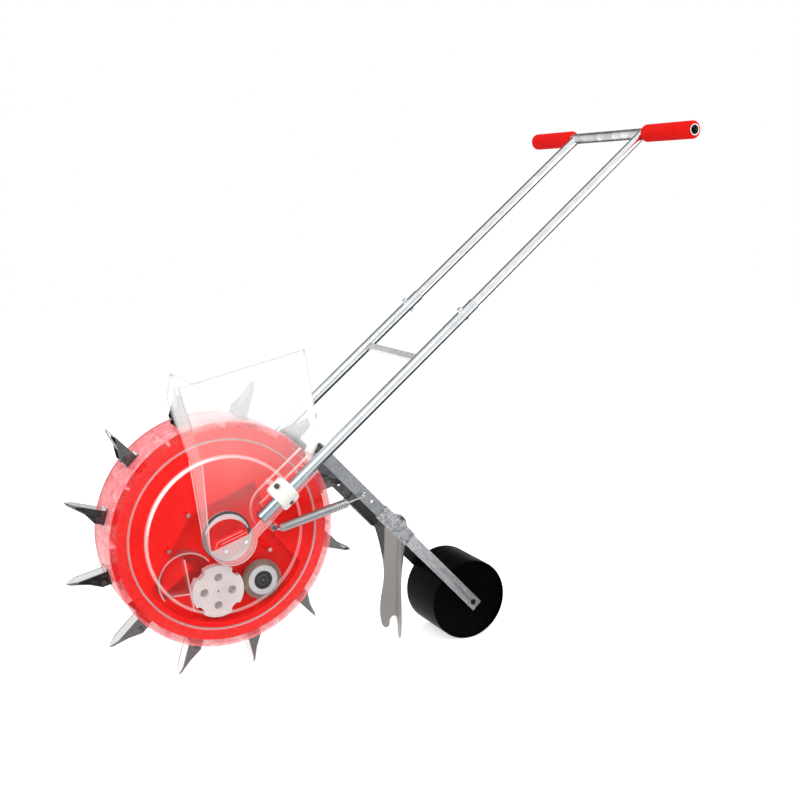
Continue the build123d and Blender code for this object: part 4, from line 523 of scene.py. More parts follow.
def moulded_plastic(name, dark, bright, low, high, grain_scale, bump, values):
    """Moulded plastic: faint cloudy colour, roughness between low and high, fine surface grain."""
    material, tree, shader = start_material(name, **values)
    cloud = add_group(tree, grain_group, Scale=COLOUR_CLOUD, Low=0.0, High=1.0)
    tint_by(tree, shader, cloud.outputs["Value"], dark, bright)
    add_grain(tree, shader, grain_scale, low, high, bump)
    return material


def rolled_metal(name, dark, bright, low, high, turn, across, along, bump, spangle):
    """Drawn or rolled metal: spangle in its tint, lines along its length in roughness and bump."""
    material, tree, shader = start_material(name, Metallic=1.0)
    cloud = add_group(tree, spangle_group, Scale=spangle, Dark=0.0, Bright=1.0)
    tint_by(tree, shader, cloud.outputs["Value"], dark, bright)
    add_streaks(tree, shader, low, high, turn, across, along, bump)
    return material


def tube_darker_below(name, dull, bright):
    """Drawn zinc tube, darker and bluer towards its lower end."""
    material, tree, shader = start_material(name, Metallic=1.0)
    cloud = add_group(tree, spangle_group, Scale=TUBE_SPANGLE, Dark=0.8, Bright=1.0)
    height = rise_with_height(tree, DARKENING_LOW, DARKENING_HIGH, foot=0.0, top=1.0)
    tint_by(tree, shader, product_of(tree, cloud.outputs["Value"], height), dull, bright)
    add_streaks(tree, shader, 0.14, 0.24, HANDLE_TURN, TUBE_ACROSS, TUBE_ALONG, TUBE_BUMP)
    return material


def plate_edge_shade(tree, inside):
    """Mask of the painted shade along a duckbill plate's long edges: 1 where |y| / half width(r) is beyond a
    share.
    """
    width = beyond_radius(tree, BILL_SHOULDER, BILL_NOSE, BILL_NOSE_HALF, BILL_HALF)
    from_middle = step_along(tree, "Object", "Y", low=0.0, high=1.0)
    share = math_of(tree, "DIVIDE", from_middle, width)
    return map_of(tree, share, inside, inside + BILL_SHADE_SHARE)


def folded_steel(name, plate, cheek_shade, inside):
    """Folded sheet: bright back plates with painted shade along their long edges, and painted shade on the
    cheeks that face along the axle.
    """
    material, tree, shader = start_material(name, Metallic=1.0)
    fold = plate_edge_shade(tree, inside)
    side = step_along(tree, "Normal", "Y", low=0.6, high=0.9)
    # Painted shade on the long plate edges and on the cheeks
    tint_by(tree, shader, larger_of(tree, fold, side), plate, cheek_shade)
    add_streaks(tree, shader, low=0.16, high=0.32, turn=0.0, across=300.0, along=60.0, bump=0.2)
    return material


def ribbed_shell(name, face, wall_shade):
    """Red moulding, bright on its ring and its faces along the axle, with painted shade on the rib and
    step walls inside."""
    material, tree, shader = start_material(name, Specular_IOR_Level=0.3)
    along_axle = step_along(tree, "Normal", "Y", low=0.35, high=0.75)
    on_ring = beyond_radius(tree, RIBS_END, RIBS_END + RIBS_FADE, top=1.0)
    # Painted shade: faces that do not face along the axle take the darker red
    tint_by(tree, shader, larger_of(tree, along_axle, on_ring), wall_shade, face)
    add_grain(tree, shader, scale=120.0, low=0.22, high=0.34, bump=0.08)
    return material


def pressed_sheet(name, sheet, corner):
    """Bare sheet, smooth and streaked upright, with painted shade at its folded upper corners beside the
    arms.
    """
    material, tree, shader = start_material(name, Metallic=1.0)
    out_side = step_along(tree, "Object", "Y", FOLD_FROM, FOLD_FROM + FOLD_FADE)
    up_high = rise_with_height(tree, FOLD_LOW, FOLD_LOW + FOLD_RISE, foot=0.0, top=1.0)
    # Painted shade: the corner colour at the folded upper corners beside the arms
    tint_by(tree, shader, product_of(tree, out_side, up_high), sheet, corner)
    add_streaks(tree, shader, low=0.25, high=0.4, turn=UPRIGHT_TURN, across=600.0, along=20.0, bump=0.2)
    return material


def turned_hub(name, dark, bright):
    """Black hub with a paler turned ring and a paler screw at its centre."""
    material, tree, shader = start_material(name, Specular_IOR_Level=0.2)
    on_screw = beyond_radius(tree, HUB_SCREW, HUB_SCREW + HUB_STEP, 0.0, 1.0, BRUSH_AT)
    from_ring = beyond_radius(tree, HUB_RING, HUB_RING + HUB_STEP, 1.0, 0.0, BRUSH_AT)
    ring_end = HUB_RING + 2 * HUB_STEP
    up_to_end = beyond_radius(tree, ring_end, HUB_RING + 3 * HUB_STEP, 0.0, 1.0, BRUSH_AT)
    ring = product_of(tree, from_ring, up_to_end)
    tint_by(tree, shader, larger_of(tree, on_screw, ring), dark, bright)
    add_grain(tree, shader, scale=400.0, low=0.35, high=0.5, bump=0.1)
    return material


def screw_heads(name, cover_tint, gate_tint):
    """Screw steel: dull on the cover, bright on the seed gate, which lies nearer."""
    material, tree, shader = start_material(name, Metallic=1.0)
    on_gate = step_along(tree, "Object", "Y", SCREW_ON_COVER, SCREW_ON_GATE)
    tint_by(tree, shader, on_gate, cover_tint, gate_tint)
    add_grain(tree, shader, scale=700.0, low=0.25, high=0.4, bump=0.2, depth=LINE_DEPTH)
    return material


def clear_moulding(name, tint, edge_tint):
    """Polished clear plastic, tinted towards grazing angles, and the output of how far it is turned away.
    A little emission, a painted glow, stands for the light that such a moulding carries to its edges."""
    material, tree, shader = start_material(
        name,
        IOR=PLASTIC_IOR,
        Specular_IOR_Level=PLASTIC_SPECULAR,
        Emission_Color=(*edge_tint, 1.0),
        Emission_Strength=EDGE_GLOW,
    )
    edge = tree.nodes.new("ShaderNodeLayerWeight")
    edge.inputs["Blend"].default_value = 0.5
    turned = edge.outputs["Facing"]
    tint_by(tree, shader, turned, tint, edge_tint)
    add_polish(tree, shader, low=0.05, high=0.12)
    return material, tree, shader, turned


def clear_film(tree, turned, facing, grazing):
    """Opacity of clear plastic: nearly open where it faces the eye, denser towards grazing angles, and
    faintly clouded."""
    level = map_of(tree, turned, FILM_TURN, 1.0, facing, grazing, eased=True)
    cloud = add_group(tree, grain_group, Scale=FILM_CLOUD, Low=1 - FILM_SPREAD, High=1 + FILM_SPREAD)
    return math_of(tree, "MULTIPLY", level, cloud.outputs["Value"], clamp=True)


def glow_by(tree, shader, value, tint, strength):
    """Painted glow: emission that follows a value, from none to a tint."""
    tint_by(tree, shader, value, BLACK, tint, "Emission Color")
    shader.inputs["Emission Strength"].default_value = strength


def hopper_plastic(name):
    """Clear hopper: hazier with height and beyond the drum's rim, with pale side walls; beyond the rim and
    on its side walls it also carries a strong painted glow.
    """
    material, tree, shader, turned = clear_moulding(name, WHITE_HAZE, SOFT_EDGE)
    over_drum = rise_with_height(tree, HAZE_LOW, HAZE_HIGH, foot=0.012, top=0.055)
    over_rim = beyond_radius(tree, HAZE_INSIDE, HAZE_OUTSIDE, top=0.18)
    film = clear_film(tree, turned, facing=larger_of(tree, over_drum, over_rim), grazing=0.3)
    wall_height = rise_with_height(tree, HAZE_LOW, HAZE_LOW + HAZE_WALL_RISE, foot=0.4, top=1.0)
    across_axle = step_along(tree, "Normal", "Y", low=0.05, high=0.5, top=0.0, foot=0.44)
    side_wall = product_of(tree, across_axle, wall_height)
    tree.links.new(larger_of(tree, film, side_wall), shader.inputs["Alpha"])
    # Painted glow beyond the drum's rim and on the side walls
    glow_by(tree, shader, larger_of(tree, over_rim, side_wall), WHITE_HAZE, strength=1.8)
    return material


def cover_plastic(name):
    """Clear cover: a painted highlight on its rounded edges towards the key lamp's side, and its outer band
    and slanted rings made pale by denser film; all three also carry a painted pink glow.
    """
    material, tree, shader, turned = clear_moulding(name, WHITE_HAZE, PINK_HAZE)
    film = clear_film(tree, turned, facing=0.006, grazing=0.25)
    # Painted highlight: alpha rises where rounded edges face the key lamp's side
    edge_highlight = painted_edge_highlight(tree, HIGHLIGHT_SIDE, start=0.80, full=0.96, strength=0.7)
    rim_band = beyond_radius(tree, COVER_BAND, COVER_BAND + COVER_BAND_FADE, top=0.18)
    slanted = step_along(tree, "Normal", "Y", low=0.80, high=0.97, top=0.0, foot=0.36)
    highlight_and_glow = larger_of(tree, larger_of(tree, edge_highlight, rim_band), slanted)
    tree.links.new(larger_of(tree, film, highlight_and_glow), shader.inputs["Alpha"])
    # Painted pink glow on the highlight, the outer band and the slanted rings
    glow_by(tree, shader, highlight_and_glow, PINK_HAZE, strength=0.4)
    return material


def flange_plastic(name):
    """Clear flange, the same all over."""
    material, tree, shader, turned = clear_moulding(name, WHITE_HAZE, PINK_HAZE)
    film = clear_film(tree, turned, facing=0.008, grazing=0.3)
    tree.links.new(film, shader.inputs["Alpha"])
    return material


def chamber_plastic(name):
    """Clear drop chamber: the front edges of its walls show pale."""
    material, tree, shader, turned = clear_moulding(name, PINK_HAZE, PINK_HAZE)
    film = clear_film(tree, turned, facing=0.01, grazing=0.12)
    wall_edge = step_along(tree, "Normal", "Y", low=0.9, high=0.99, top=0.45)
    front_edge = front_of(tree, CHAMBER_EDGE, wall_edge)
    tree.links.new(larger_of(tree, film, front_edge), shader.inputs["Alpha"])
    return material


def mottled_rim(name):
    """Clear rim with its red ring shining through: pink, with pale streaks, dark specks and a cloudy
    film, and a faint painted pink glow."""
    material, tree, shader = start_material(
        name,
        IOR=PLASTIC_IOR,
        Specular_IOR_Level=PLASTIC_SPECULAR,
        Emission_Strength=2 * EDGE_GLOW,
        Emission_Color=RIM_GLOW,
    )
    mottle = add_group(tree, grain_group, Scale=75.0, Low=0.1, High=0.9)
    ramp = tree.nodes.new("ShaderNodeValToRGB")
    stops = ramp.color_ramp.elements
    for stop, (position, colour) in zip(stops, (RIM_STOPS[0], RIM_STOPS[-1])):
        stop.position = position
        stop.color = colour
    for position, colour in RIM_STOPS[1:-1]:
        stops.new(position).color = colour
    tree.links.new(mottle.outputs["Value"], ramp.inputs["Fac"])
    tree.links.new(ramp.outputs["Color"], shader.inputs["Base Color"])
    film = add_group(tree, grain_group, Scale=24.0, Low=0.42, High=0.62)
    tree.links.new(film.outputs["Value"], shader.inputs["Alpha"])
    add_polish(tree, shader, low=0.1, high=0.25)
    return material


# Plastics: darker and lighter colour, roughness from and to, grain scale, bump, other sockets
PLASTICS = {
    "red_gloss": (
        (0.86, 0.003, 0.002), (0.95, 0.007, 0.004), 0.2, 0.3, 90.0, 0.05, {"Specular_IOR_Level": 0.08}
    ),
    "red_paint": (
        (0.74, 0.008, 0.006), (0.84, 0.014, 0.01), 0.2, 0.3, 300.0, 0.1, {"Specular_IOR_Level": 0.35}
    ),
    "red_foam": (
        (0.80, 0.006, 0.005), (0.87, 0.010, 0.008), 0.7, 0.9, 900.0, 0.12, {"Specular_IOR_Level": 0.12}
    ),
    "ivory_nylon": (
        (0.88, 0.86, 0.80), (0.95, 0.94, 0.89), 0.4, 0.55, 500.0, 0.2, {"Subsurface_Weight": 0.1}
    ),
    "milky_plastic": ((0.74, 0.64, 0.63), (0.86, 0.80, 0.79), 0.2, 0.3, 60.0, 0.03, {"Alpha": 0.84}),
    "gate_milky": ((0.76, 0.66, 0.66), (0.88, 0.80, 0.80), 0.2, 0.3, 60.0, 0.03, {"Alpha": 0.5}),
    "bead_milky": ((0.82, 0.72, 0.72), (0.92, 0.86, 0.86), 0.2, 0.3, 60.0, 0.03, {"Alpha": 0.5}),
    "flange_grey": ((0.46, 0.46, 0.48), (0.58, 0.58, 0.60), 0.25, 0.35, 60.0, 0.03, {}),
    "black_rubber": ((0.008, 0.008, 0.008), (0.018, 0.018, 0.018), 0.5, 0.7, 500.0, 0.3, {}),
    "roller_black": (
        (0.0008, 0.0008, 0.001), (0.002, 0.002, 0.002), 0.3, 0.42, 700.0, 0.1, {"Specular_IOR_Level": 0.02}
    ),
    "axle_black": (
        (0.006, 0.006, 0.006), (0.012, 0.012, 0.012), 0.35, 0.5, 400.0, 0.1, {"Specular_IOR_Level": 0.1}
    ),
    "bristle_fibre": ((0.22, 0.16, 0.12), (0.48, 0.37, 0.29), 0.5, 0.8, 1200.0, 0.1, {}),
}

# Metals: darker and lighter colour, roughness from and to, direction of the drawing lines, their scale
# across and along, bump, spangle scale
METALS = {
    "galvanised_tube": (
        (0.74, 0.76, 0.77), (0.88, 0.89, 0.90), 0.10, 0.18,
        HANDLE_TURN, TUBE_ACROSS, TUBE_ALONG, TUBE_BUMP, TUBE_SPANGLE,
    ),
    "bar_zinc": (
        (0.54, 0.54, 0.53), (0.90, 0.89, 0.87), 0.3, 0.45, UPRIGHT_TURN, 300.0, 30.0, 0.15, 45.0
    ),
    "dull_zinc": (
        (0.62, 0.61, 0.60), (0.78, 0.77, 0.76), 0.25, 0.4, UPRIGHT_TURN, 500.0, 14.0, 0.3, 120.0
    ),
    "zinc_plate": ((0.22, 0.23, 0.24), (0.27, 0.28, 0.30), 0.3, 0.45, ARM_TURN, 500.0, 14.0, 0.3, 150.0),
    "zinc_bar": ((0.42, 0.43, 0.45), (0.58, 0.59, 0.61), 0.25, 0.4, ARM_TURN, 500.0, 14.0, 0.3, 220.0),
    "sleeve_zinc": ((0.20, 0.20, 0.21), (0.46, 0.47, 0.49), 0.25, 0.45, ARM_TURN, 500.0, 60.0, 0.4, 240.0),
    # Darker copy of the arm zinc: painted shade on the far arm's plate and bar
    "zinc_painted_shade": ((0.09, 0.09, 0.095), (0.14, 0.14, 0.15), 0.3, 0.45, ARM_TURN, 500.0, 14.0, 0.3, 150.0),
    "dark_steel": ((0.16, 0.16, 0.17), (0.26, 0.26, 0.27), 0.25, 0.4, 0.0, 300.0, 60.0, 0.2, FINE_SPANGLE),
    "bright_steel": (
        (0.66, 0.66, 0.68), (0.78, 0.78, 0.80), 0.18, 0.3, 0.0, 400.0, 200.0, 0.1, FINE_SPANGLE
    ),
    "spring_steel": (
        (0.42, 0.43, 0.44), (0.56, 0.57, 0.58), 0.16, 0.28, 0.0, 300.0, 300.0, 0.1, FINE_SPANGLE
    ),
    "dark_screw": ((0.08, 0.075, 0.07), (0.14, 0.13, 0.12), 0.35, 0.5, 0.0, 400.0, 200.0, 0.1, FINE_SPANGLE),
    "bush_bronze": ((0.46, 0.30, 0.14), (0.58, 0.40, 0.22), 0.3, 0.42, 0.0, 400.0, 200.0, 0.1, FINE_SPANGLE),
}

# Finishes by name: those of one place first, then the two tables
finishes = {
    "red_shell": ribbed_shell("red_shell", face=(0.88, 0.005, 0.003), wall_shade=(0.36, 0.002, 0.001)),
    "hub_black": turned_hub("hub_black", dark=(0.02, 0.018, 0.019), bright=(0.10, 0.094, 0.097)),
    "hopper_clear": hopper_plastic("hopper_clear"),
    "cover_clear": cover_plastic("cover_clear"),
    "flange_clear": flange_plastic("flange_clear"),
    "rim_clear": mottled_rim("rim_clear"),
    "chamber_clear": chamber_plastic("chamber_clear"),
    "cut_edge": start_material(
        "cut_edge", Base_Color=(0.46, 0.43, 0.43, 1.0), Roughness=0.3, Alpha=0.30
    )[0],
    # dull: the darker, bluer tint towards the tube's lower end
    "lower_zinc": tube_darker_below("lower_zinc", dull=(0.25, 0.31, 0.34), bright=(0.72, 0.75, 0.77)),
    "stainless_sheet": pressed_sheet(
        "stainless_sheet", sheet=(0.24, 0.23, 0.22), corner=(0.06, 0.058, 0.056)
    ),
    "duckbill_steel": folded_steel(
        "duckbill_steel", plate=(0.76, 0.76, 0.75), cheek_shade=(0.13, 0.125, 0.125), inside=0.76
    ),
    "port_screw": screw_heads(
        "port_screw", cover_tint=(0.46, 0.32, 0.31), gate_tint=(0.80, 0.80, 0.82)
    ),
}
for finish_name, numbers in PLASTICS.items():
    finishes[finish_name] = moulded_plastic(finish_name, *numbers)
for finish_name, numbers in METALS.items():
    finishes[finish_name] = rolled_metal(finish_name, *numbers)

# Finish of each slot whose finish has another name, and of each node that departs from its slot
SLOT_FINISHES = {
    "red_plastic": "red_gloss",
    "clear_plastic": "hopper_clear",
    "white_nylon": "ivory_nylon",
    "black_plastic": "roller_black",
    "bristle": "bristle_fibre",
}
NODE_FINISHES = {
    "drum_pan": "red_shell",
    "duckbill_blades": "duckbill_steel",
    "near_cover": "cover_clear",
    "drum_flange": "flange_clear",
    "rim_segments": "rim_clear",
    "drop_chamber": "chamber_clear",
    "seed_gate": "gate_milky",
    "brush_flange": "flange_grey",
    "brush_hub": "hub_black",
    "roller_axle": "axle_black",
    "brace": "dull_zinc",
    "lower_tubes": "lower_zinc",
    "cross_tube": "bar_zinc",
    "far_arm_plate": "zinc_painted_shade",
    "far_arm_bar": "zinc_painted_shade",
    "near_arm_bar": "zinc_bar",
    "arm_sleeves": "sleeve_zinc",
    "cover_screws": "port_screw",
    "pivot_studs": "dark_screw",
    "pivot_nuts": "dark_screw",
    "flap_pins": "dark_screw",
    "metering_shaft": "dark_screw",
    "spring_screw": "dark_screw",
    "sleeve_bolts": "dark_screw",
}
CLEAR_FINISHES = ("hopper_clear", "cover_clear", "flange_clear", "rim_clear", "chamber_clear")


def hide_from_light(piece):
    """Piece without a shadow, which the rays that carry light onto surfaces pass by."""
    piece.visible_shadow = False
    piece.visible_diffuse = False


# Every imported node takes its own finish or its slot's, and clear pieces let light through
for subpart in frame["record"]["subparts"]:
    node = nodes[subpart["node"]]
    slot_finish = SLOT_FINISHES.get(subpart["material_slot"], subpart["material_slot"])
    finish_name = NODE_FINISHES.get(subpart["node"], slot_finish)
    node.data.materials.clear()
    node.data.materials.append(finishes[finish_name])
    if finish_name in CLEAR_FINISHES:
        hide_from_light(node)

# Foam grips: rounded sleeves on the cross tube
GRIP_WALL = 6.5 * MM
GRIP_ROUND = 4.0 * MM
GRIP_CLEARANCE = 0.1 * MM
for side in ("near", "far"):
    low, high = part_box(f"{side}_grip")
    section = rounded_section(
        BAR_RADIUS + GRIP_CLEARANCE, BAR_RADIUS + GRIP_WALL, low.y, high.y, GRIP_ROUND
    )
    points = lathe_points(section, BAR_X, BAR_Z)
    quads = grid_faces(points.shape[0], points.shape[1], wrap_rows=True, wrap_columns=True)
    grip = make_piece(f"{side}_foam_grip", points, quads, finishes["red_foam"], "frame")
    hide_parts(f"{side}_grip")

# Tension spring, in millimetres and degrees: hook, close coils and a straight end bent into the arm's hole
POST_AT = (84.5, 13.5)
HOLE_AT = (272.3, 56.1)
ARM_FACE = -74.0
SPRING_DEPTH = -90.0
SPRING_WIRE = 1.6
SPRING_COIL = 7.6
SPRING_PITCH = 3.75
SPRING_TURNS = 36
COIL_STEPS = 1176
HOOK_RADIUS = 5.0
HOOK_SWEEP = 250.0
HOOK_STEPS = 40
HOOK_LEAD = 6.5
HOOK_BEND = 4.5
HOOK_END = 9.0
BEND_STEPS = 12
WIRE_SIDES = 12


def spring_surface():
    """Spring wire: p(t) = start + along pitch t + r g(t) (up cos a + across sin a), a = 2 pi t g(t), where g
    eases between 0 and 1 at both ends, with a hook p = post - R (up cos h + along sin h) before it and a
    quarter bend into the arm after it."""
    run, rise = HOLE_AT[0] - POST_AT[0], HOLE_AT[1] - POST_AT[1]
    line = math.atan2(rise, run) + math.asin(HOOK_RADIUS / math.hypot(run, rise))
    along = np.array([math.cos(line), 0.0, math.sin(line)])
    upward = np.array([-math.sin(line), 0.0, math.cos(line)])
    across = np.array([0.0, 1.0, 0.0])
    post = drum_point(POST_AT[0], SPRING_DEPTH, POST_AT[1])
    hole = drum_point(HOLE_AT[0], SPRING_DEPTH, HOLE_AT[1])
    hook_angle = np.radians(np.linspace(HOOK_SWEEP, 0.0, HOOK_STEPS))[:, None]
    hook_normal = upward * np.cos(hook_angle) + along * np.sin(hook_angle)
    hook = post - hook_normal * HOOK_RADIUS * MM
    lead = HOOK_LEAD / SPRING_PITCH
    turns = np.linspace(-lead, SPRING_TURNS + lead, COIL_STEPS)[:, None]
    inside = np.clip(np.minimum(turns + lead, SPRING_TURNS + lead - turns) / lead, 0.0, 1.0)
    grow = inside * inside * (3 - 2 * inside)
    angle = 2 * np.pi * turns * grow
    radial = upward * np.cos(angle) + across * np.sin(angle)
    start = hook[-1] + along * (2 * HOOK_LEAD) * MM
    coil = start + along * (SPRING_PITCH * turns) * MM + radial * (SPRING_COIL * grow) * MM
    bend_angle = np.linspace(0.0, np.pi / 2, BEND_STEPS)[:, None]
    bend_start = hole - along * HOOK_BEND * MM
    bend = bend_start + (along * np.sin(bend_angle) + across * (1 - np.cos(bend_angle))) * HOOK_BEND * MM
    tail = bend[-1:] + across * ((ARM_FACE - SPRING_DEPTH - HOOK_BEND) * MM)
    path = np.concatenate([hook[:-1], coil, bend, tail])
    still = np.broadcast_to(upward, (len(bend) + 1, 3))
    normal = np.concatenate([hook_normal[:-1], radial, still])
    return tube_points(path, normal, SPRING_WIRE * MM, WIRE_SIDES)


points = spring_surface()
quads = grid_faces(points.shape[0], points.shape[1], wrap_columns=True)
spring = make_piece("spring_coil", points, quads, finishes["spring_steel"], None)
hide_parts("tension_spring")
spring_line = np.array([HOLE_AT[0] - POST_AT[0], HOLE_AT[1] - POST_AT[1]])
spring_line = spring_line / np.linalg.norm(spring_line) * HOOK_END
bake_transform(spring)

# Hopper's edges, in millimetres from the drum's axle: rods along its mouth and upper corners, and thinner
# ones along its lower outline
HOPPER_NEAR = -104.0
HOPPER_FAR = -66.0
EDGE_RADIUS = 2.2 * MM
OUTLINE_EDGE = 0.8 * MM
NEAR_CORNERS = (
    (-73.5, 205.0), (-90.0, 262.0), (-97.0, 286.0), (-60.0, 295.5), (136.0, 345.0), (166.0, 195.0)
)
FAR_CORNERS = ((-89.0, 205.0), (-108.0, 262.0), (-102.0, 307.0), (-63.0, 286.0), (145.0, 300.0))
BOTTOM_RADIUS = 45.0
BOTTOM_STEPS = 40
TUBE_SIDE = ((45.0, 2.1), (164.5, 115.7), (155.0, 150.0), (165.0, 171.0), (166.0, 195.0))
NEAR_WAIST = (-57.0, 148.0)
FAR_WAIST = (-70.0, 148.0)


def lower_outline(waist, depth):
    """Hopper's lower outline at one depth: from its waist to where the line touches the bottom circle
    (r cos a, r sin a), round that, and out below the tube to the hip and the shoulder."""
    reach = math.hypot(waist[0], waist[1])
    touch = math.atan2(waist[1], waist[0]) + math.acos(BOTTOM_RADIUS / reach)
    leave = 2 * math.pi + math.atan2(TUBE_SIDE[0][1], TUBE_SIDE[0][0])
    angle = np.linspace(touch, leave, BOTTOM_STEPS)
    arc = BOTTOM_RADIUS * np.stack([np.cos(angle), np.sin(angle)], axis=-1)
    return at_depth(np.concatenate([np.array([waist]), arc, np.array(TUBE_SIDE[1:])]), depth)


# Corners 0 to 2 go up the left side, 2 to 4 along the mouth, and 4 to 5 down the near right side
near = at_depth(NEAR_CORNERS, HOPPER_NEAR)
far = at_depth(FAR_CORNERS, HOPPER_FAR)
mouth_ends = [(near[2], far[2]), (near[4], far[4])]
edge_lines = [near[2:5], far[2:5], near[:3], far[:3], near[4:], *mouth_ends]
points, quads = edge_tubes(edge_lines, EDGE_RADIUS)
edges = make_piece("hopper_edges", points, quads, finishes["cut_edge"], "frame")
outlines = [lower_outline(NEAR_WAIST, HOPPER_NEAR), lower_outline(FAR_WAIST, HOPPER_FAR)]
points, quads = edge_tubes(outlines, OUTLINE_EDGE)
outline = make_piece("hopper_outline", points, quads, finishes["bead_milky"], "frame")

# Port, in millimetres and degrees: a pale bead in the hopper's back opening, and thin edge lines on the
# red chute lip
PORT_TILT = math.radians(20.0)
PORT_DEPTH = -69.4
BEAD_OUTER = 43.0
BEAD_NARROW = 2.0
BEAD_WIDTH = 8.0
BEAD_FROM = 15.0
BEAD_TO = 172.0
BEAD_ENDS = (0.02, 0.98)
BEAD_STEPS = 200
BEAD_RIBS = 24
BEAD_LEVEL = 0.7
BEAD_RIB = 0.3
BEAD_SHARE = (0.0, 0.25, 0.5, 0.75, 1.0, 1.0, 0.0)
BEAD_LIFT = (0.0, 1.2, 1.6, 1.2, 0.0, -0.6, -0.6)
LIP_NEAR = -84.4
LIP_EDGE = 0.5 * MM
LIP_LINES = (
    ((-24.0, 3.6), (28.0, 3.6)),
    ((-19.0, -2.6), (34.0, -2.6)),
    ((-24.0, 3.6), (-31.0, -5.0)),
)


def port_bead():
    """Crescent of width w(a) = W0 + W sin(pi s) inside the circle R (cos a, sin a), s from 0 to 1 along it,
    ribbed in depth by level + rib cos(ribs a) and closed by a flat back."""
    along = np.linspace(*BEAD_ENDS, BEAD_STEPS)
    angle = np.radians(BEAD_FROM + (BEAD_TO - BEAD_FROM) * along)
    share = np.array(BEAD_SHARE)
    lift = np.array(BEAD_LIFT)
    width = BEAD_NARROW + BEAD_WIDTH * np.sin(np.pi * along)
    radius = BEAD_OUTER - width[:, None] * share[None, :]
    rib = BEAD_LEVEL + BEAD_RIB * np.cos(BEAD_RIBS * angle)
    depth = PORT_DEPTH - np.where(lift > 0, lift[None, :] * rib[:, None], lift[None, :])
    x = DRUM_X + radius * np.cos(angle)[:, None] * MM
    z = DRUM_Z + radius * np.sin(angle)[:, None] * MM
    return np.stack([x, depth * MM, z], axis=-1)


def tilted_line(line):
    """Two points along and across the tilted gate, placed in front of the lip."""
    cos, sin = math.cos(PORT_TILT), math.sin(PORT_TILT)
    return at_depth([(u * cos - w * sin, u * sin + w * cos) for u, w in line], LIP_NEAR)


points = port_bead()
quads = grid_faces(points.shape[0], points.shape[1], wrap_columns=True)
bead = make_piece("port_bead", points, quads, finishes["bead_milky"], "frame")
points, quads = edge_tubes([tilted_line(line) for line in LIP_LINES], LIP_EDGE)
lip_edges = make_piece("lip_edges", points, quads, finishes["bead_milky"], "frame")
for trim in (edges, outline, bead, lip_edges):
    hide_from_light(trim)

# Brush: a dense ring of tapered bristles on a backing ring. Inner and outer are shares of the brush's
# radius, reach is a share of the way from there to the rim, and lean is in radians
BRISTLE_COUNT = 1800
BRISTLE_FOOT = 0.55 * MM
BRISTLE_SIDES = 4
BRISTLE_INNER = 0.70
BRISTLE_REACH = (0.88, 0.995)
BRISTLE_LEAN = 0.04
BRISTLE_LEVELS = (0.0, 0.5, 1.0)
BRISTLE_TAPER = (1.0, 0.9, 0.55)
BACKING_INNER = 0.66
BACKING_OUTER = 0.75
BACKING_ROUND = 0.5 * MM


def bristle_surface(low, high):
    """Strands q(k, s) at radius inner + length s and angle turn + lean s, four-sided and tapered, with one
    row of points per level s."""
    draw = np.random.default_rng(SEED)
    centre = np.array([BRUSH_AT[0], 0.0, BRUSH_AT[1]])
    inner = BRUSH_RADIUS * BRISTLE_INNER
    turn = draw.uniform(0, 2 * np.pi, BRISTLE_COUNT)
    depth = draw.uniform(low.y + BRISTLE_FOOT, high.y - BRISTLE_FOOT, BRISTLE_COUNT)
    length = (BRUSH_RADIUS - inner) * draw.uniform(*BRISTLE_REACH, BRISTLE_COUNT)
    lean = draw.normal(0, BRISTLE_LEAN, BRISTLE_COUNT)
    level = np.array(BRISTLE_LEVELS)
    taper = np.array(BRISTLE_TAPER)
    angle = turn[:, None] + lean[:, None] * level[None, :]
    radius = inner + length[:, None] * level[None, :]
    radial = np.stack([np.cos(angle), np.zeros_like(angle), np.sin(angle)], axis=-1)
    sideways = np.stack([-np.sin(angle), np.zeros_like(angle), np.cos(angle)], axis=-1)
    spine = centre + radial * radius[..., None]
    spine[..., 1] = depth[:, None]
    corner = np.linspace(0, 2 * np.pi, BRISTLE_SIDES, endpoint=False)
    ring = (
        sideways[:, :, None, :] * np.cos(corner)[None, None, :, None]
        + np.array([0.0, 1.0, 0.0]) * np.sin(corner)[None, None, :, None]
    )
    points = spine[:, :, None, :] + ring * (BRISTLE_FOOT / 2 * taper)[None, :, None, None]
    strand = grid_faces(len(level), BRISTLE_SIDES, wrap_columns=True)
    tip = (len(level) - 1) * BRISTLE_SIDES + np.arange(BRISTLE_SIDES)
    strand = np.concatenate([strand, tip[None, :]])
    first_point = np.arange(BRISTLE_COUNT) * (len(level) * BRISTLE_SIDES)
    quads = strand[None] + first_point[:, None, None]
    return points, quads.reshape(-1, 4)


points, quads = bristle_surface(brush_low, brush_high)
bristles = make_piece(
    "bristle_ring", points, quads, finishes["bristle_fibre"], "brush", smooth=False
)
core_section = rounded_section(
    BRUSH_RADIUS * BACKING_INNER, BRUSH_RADIUS * BACKING_OUTER, brush_low.y, brush_high.y, BACKING_ROUND
)
points = lathe_points(core_section, *BRUSH_AT)
quads = grid_faces(points.shape[0], points.shape[1], wrap_rows=True, wrap_columns=True)
core = make_piece("bristle_backing", points, quads, finishes["bristle_fibre"], "brush")
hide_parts("brush_bristles")
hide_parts("brush_bristles")

# Floor and white surroundings
FLOOR_SIZE = 8.0
FLOOR_DROP = 0.5 * MM
FLOOR_GREY = 0.82
FLOOR_GLOW = 0.64
ROOM_LIGHT = 0.65
ROOM_SEEN = 1.0
WHITE = (1.0, 1.0, 1.0, 1.0)


def seen_directly(tree):
    """1 for camera, glossy and transmission rays, 0 for the rays that carry light onto surfaces."""
    path = tree.nodes.new("ShaderNodeLightPath")
    seen = larger_of(tree, path.outputs["Is Camera Ray"], path.outputs["Is Glossy Ray"])
    return larger_of(tree, seen, path.outputs["Is Transmission Ray"])


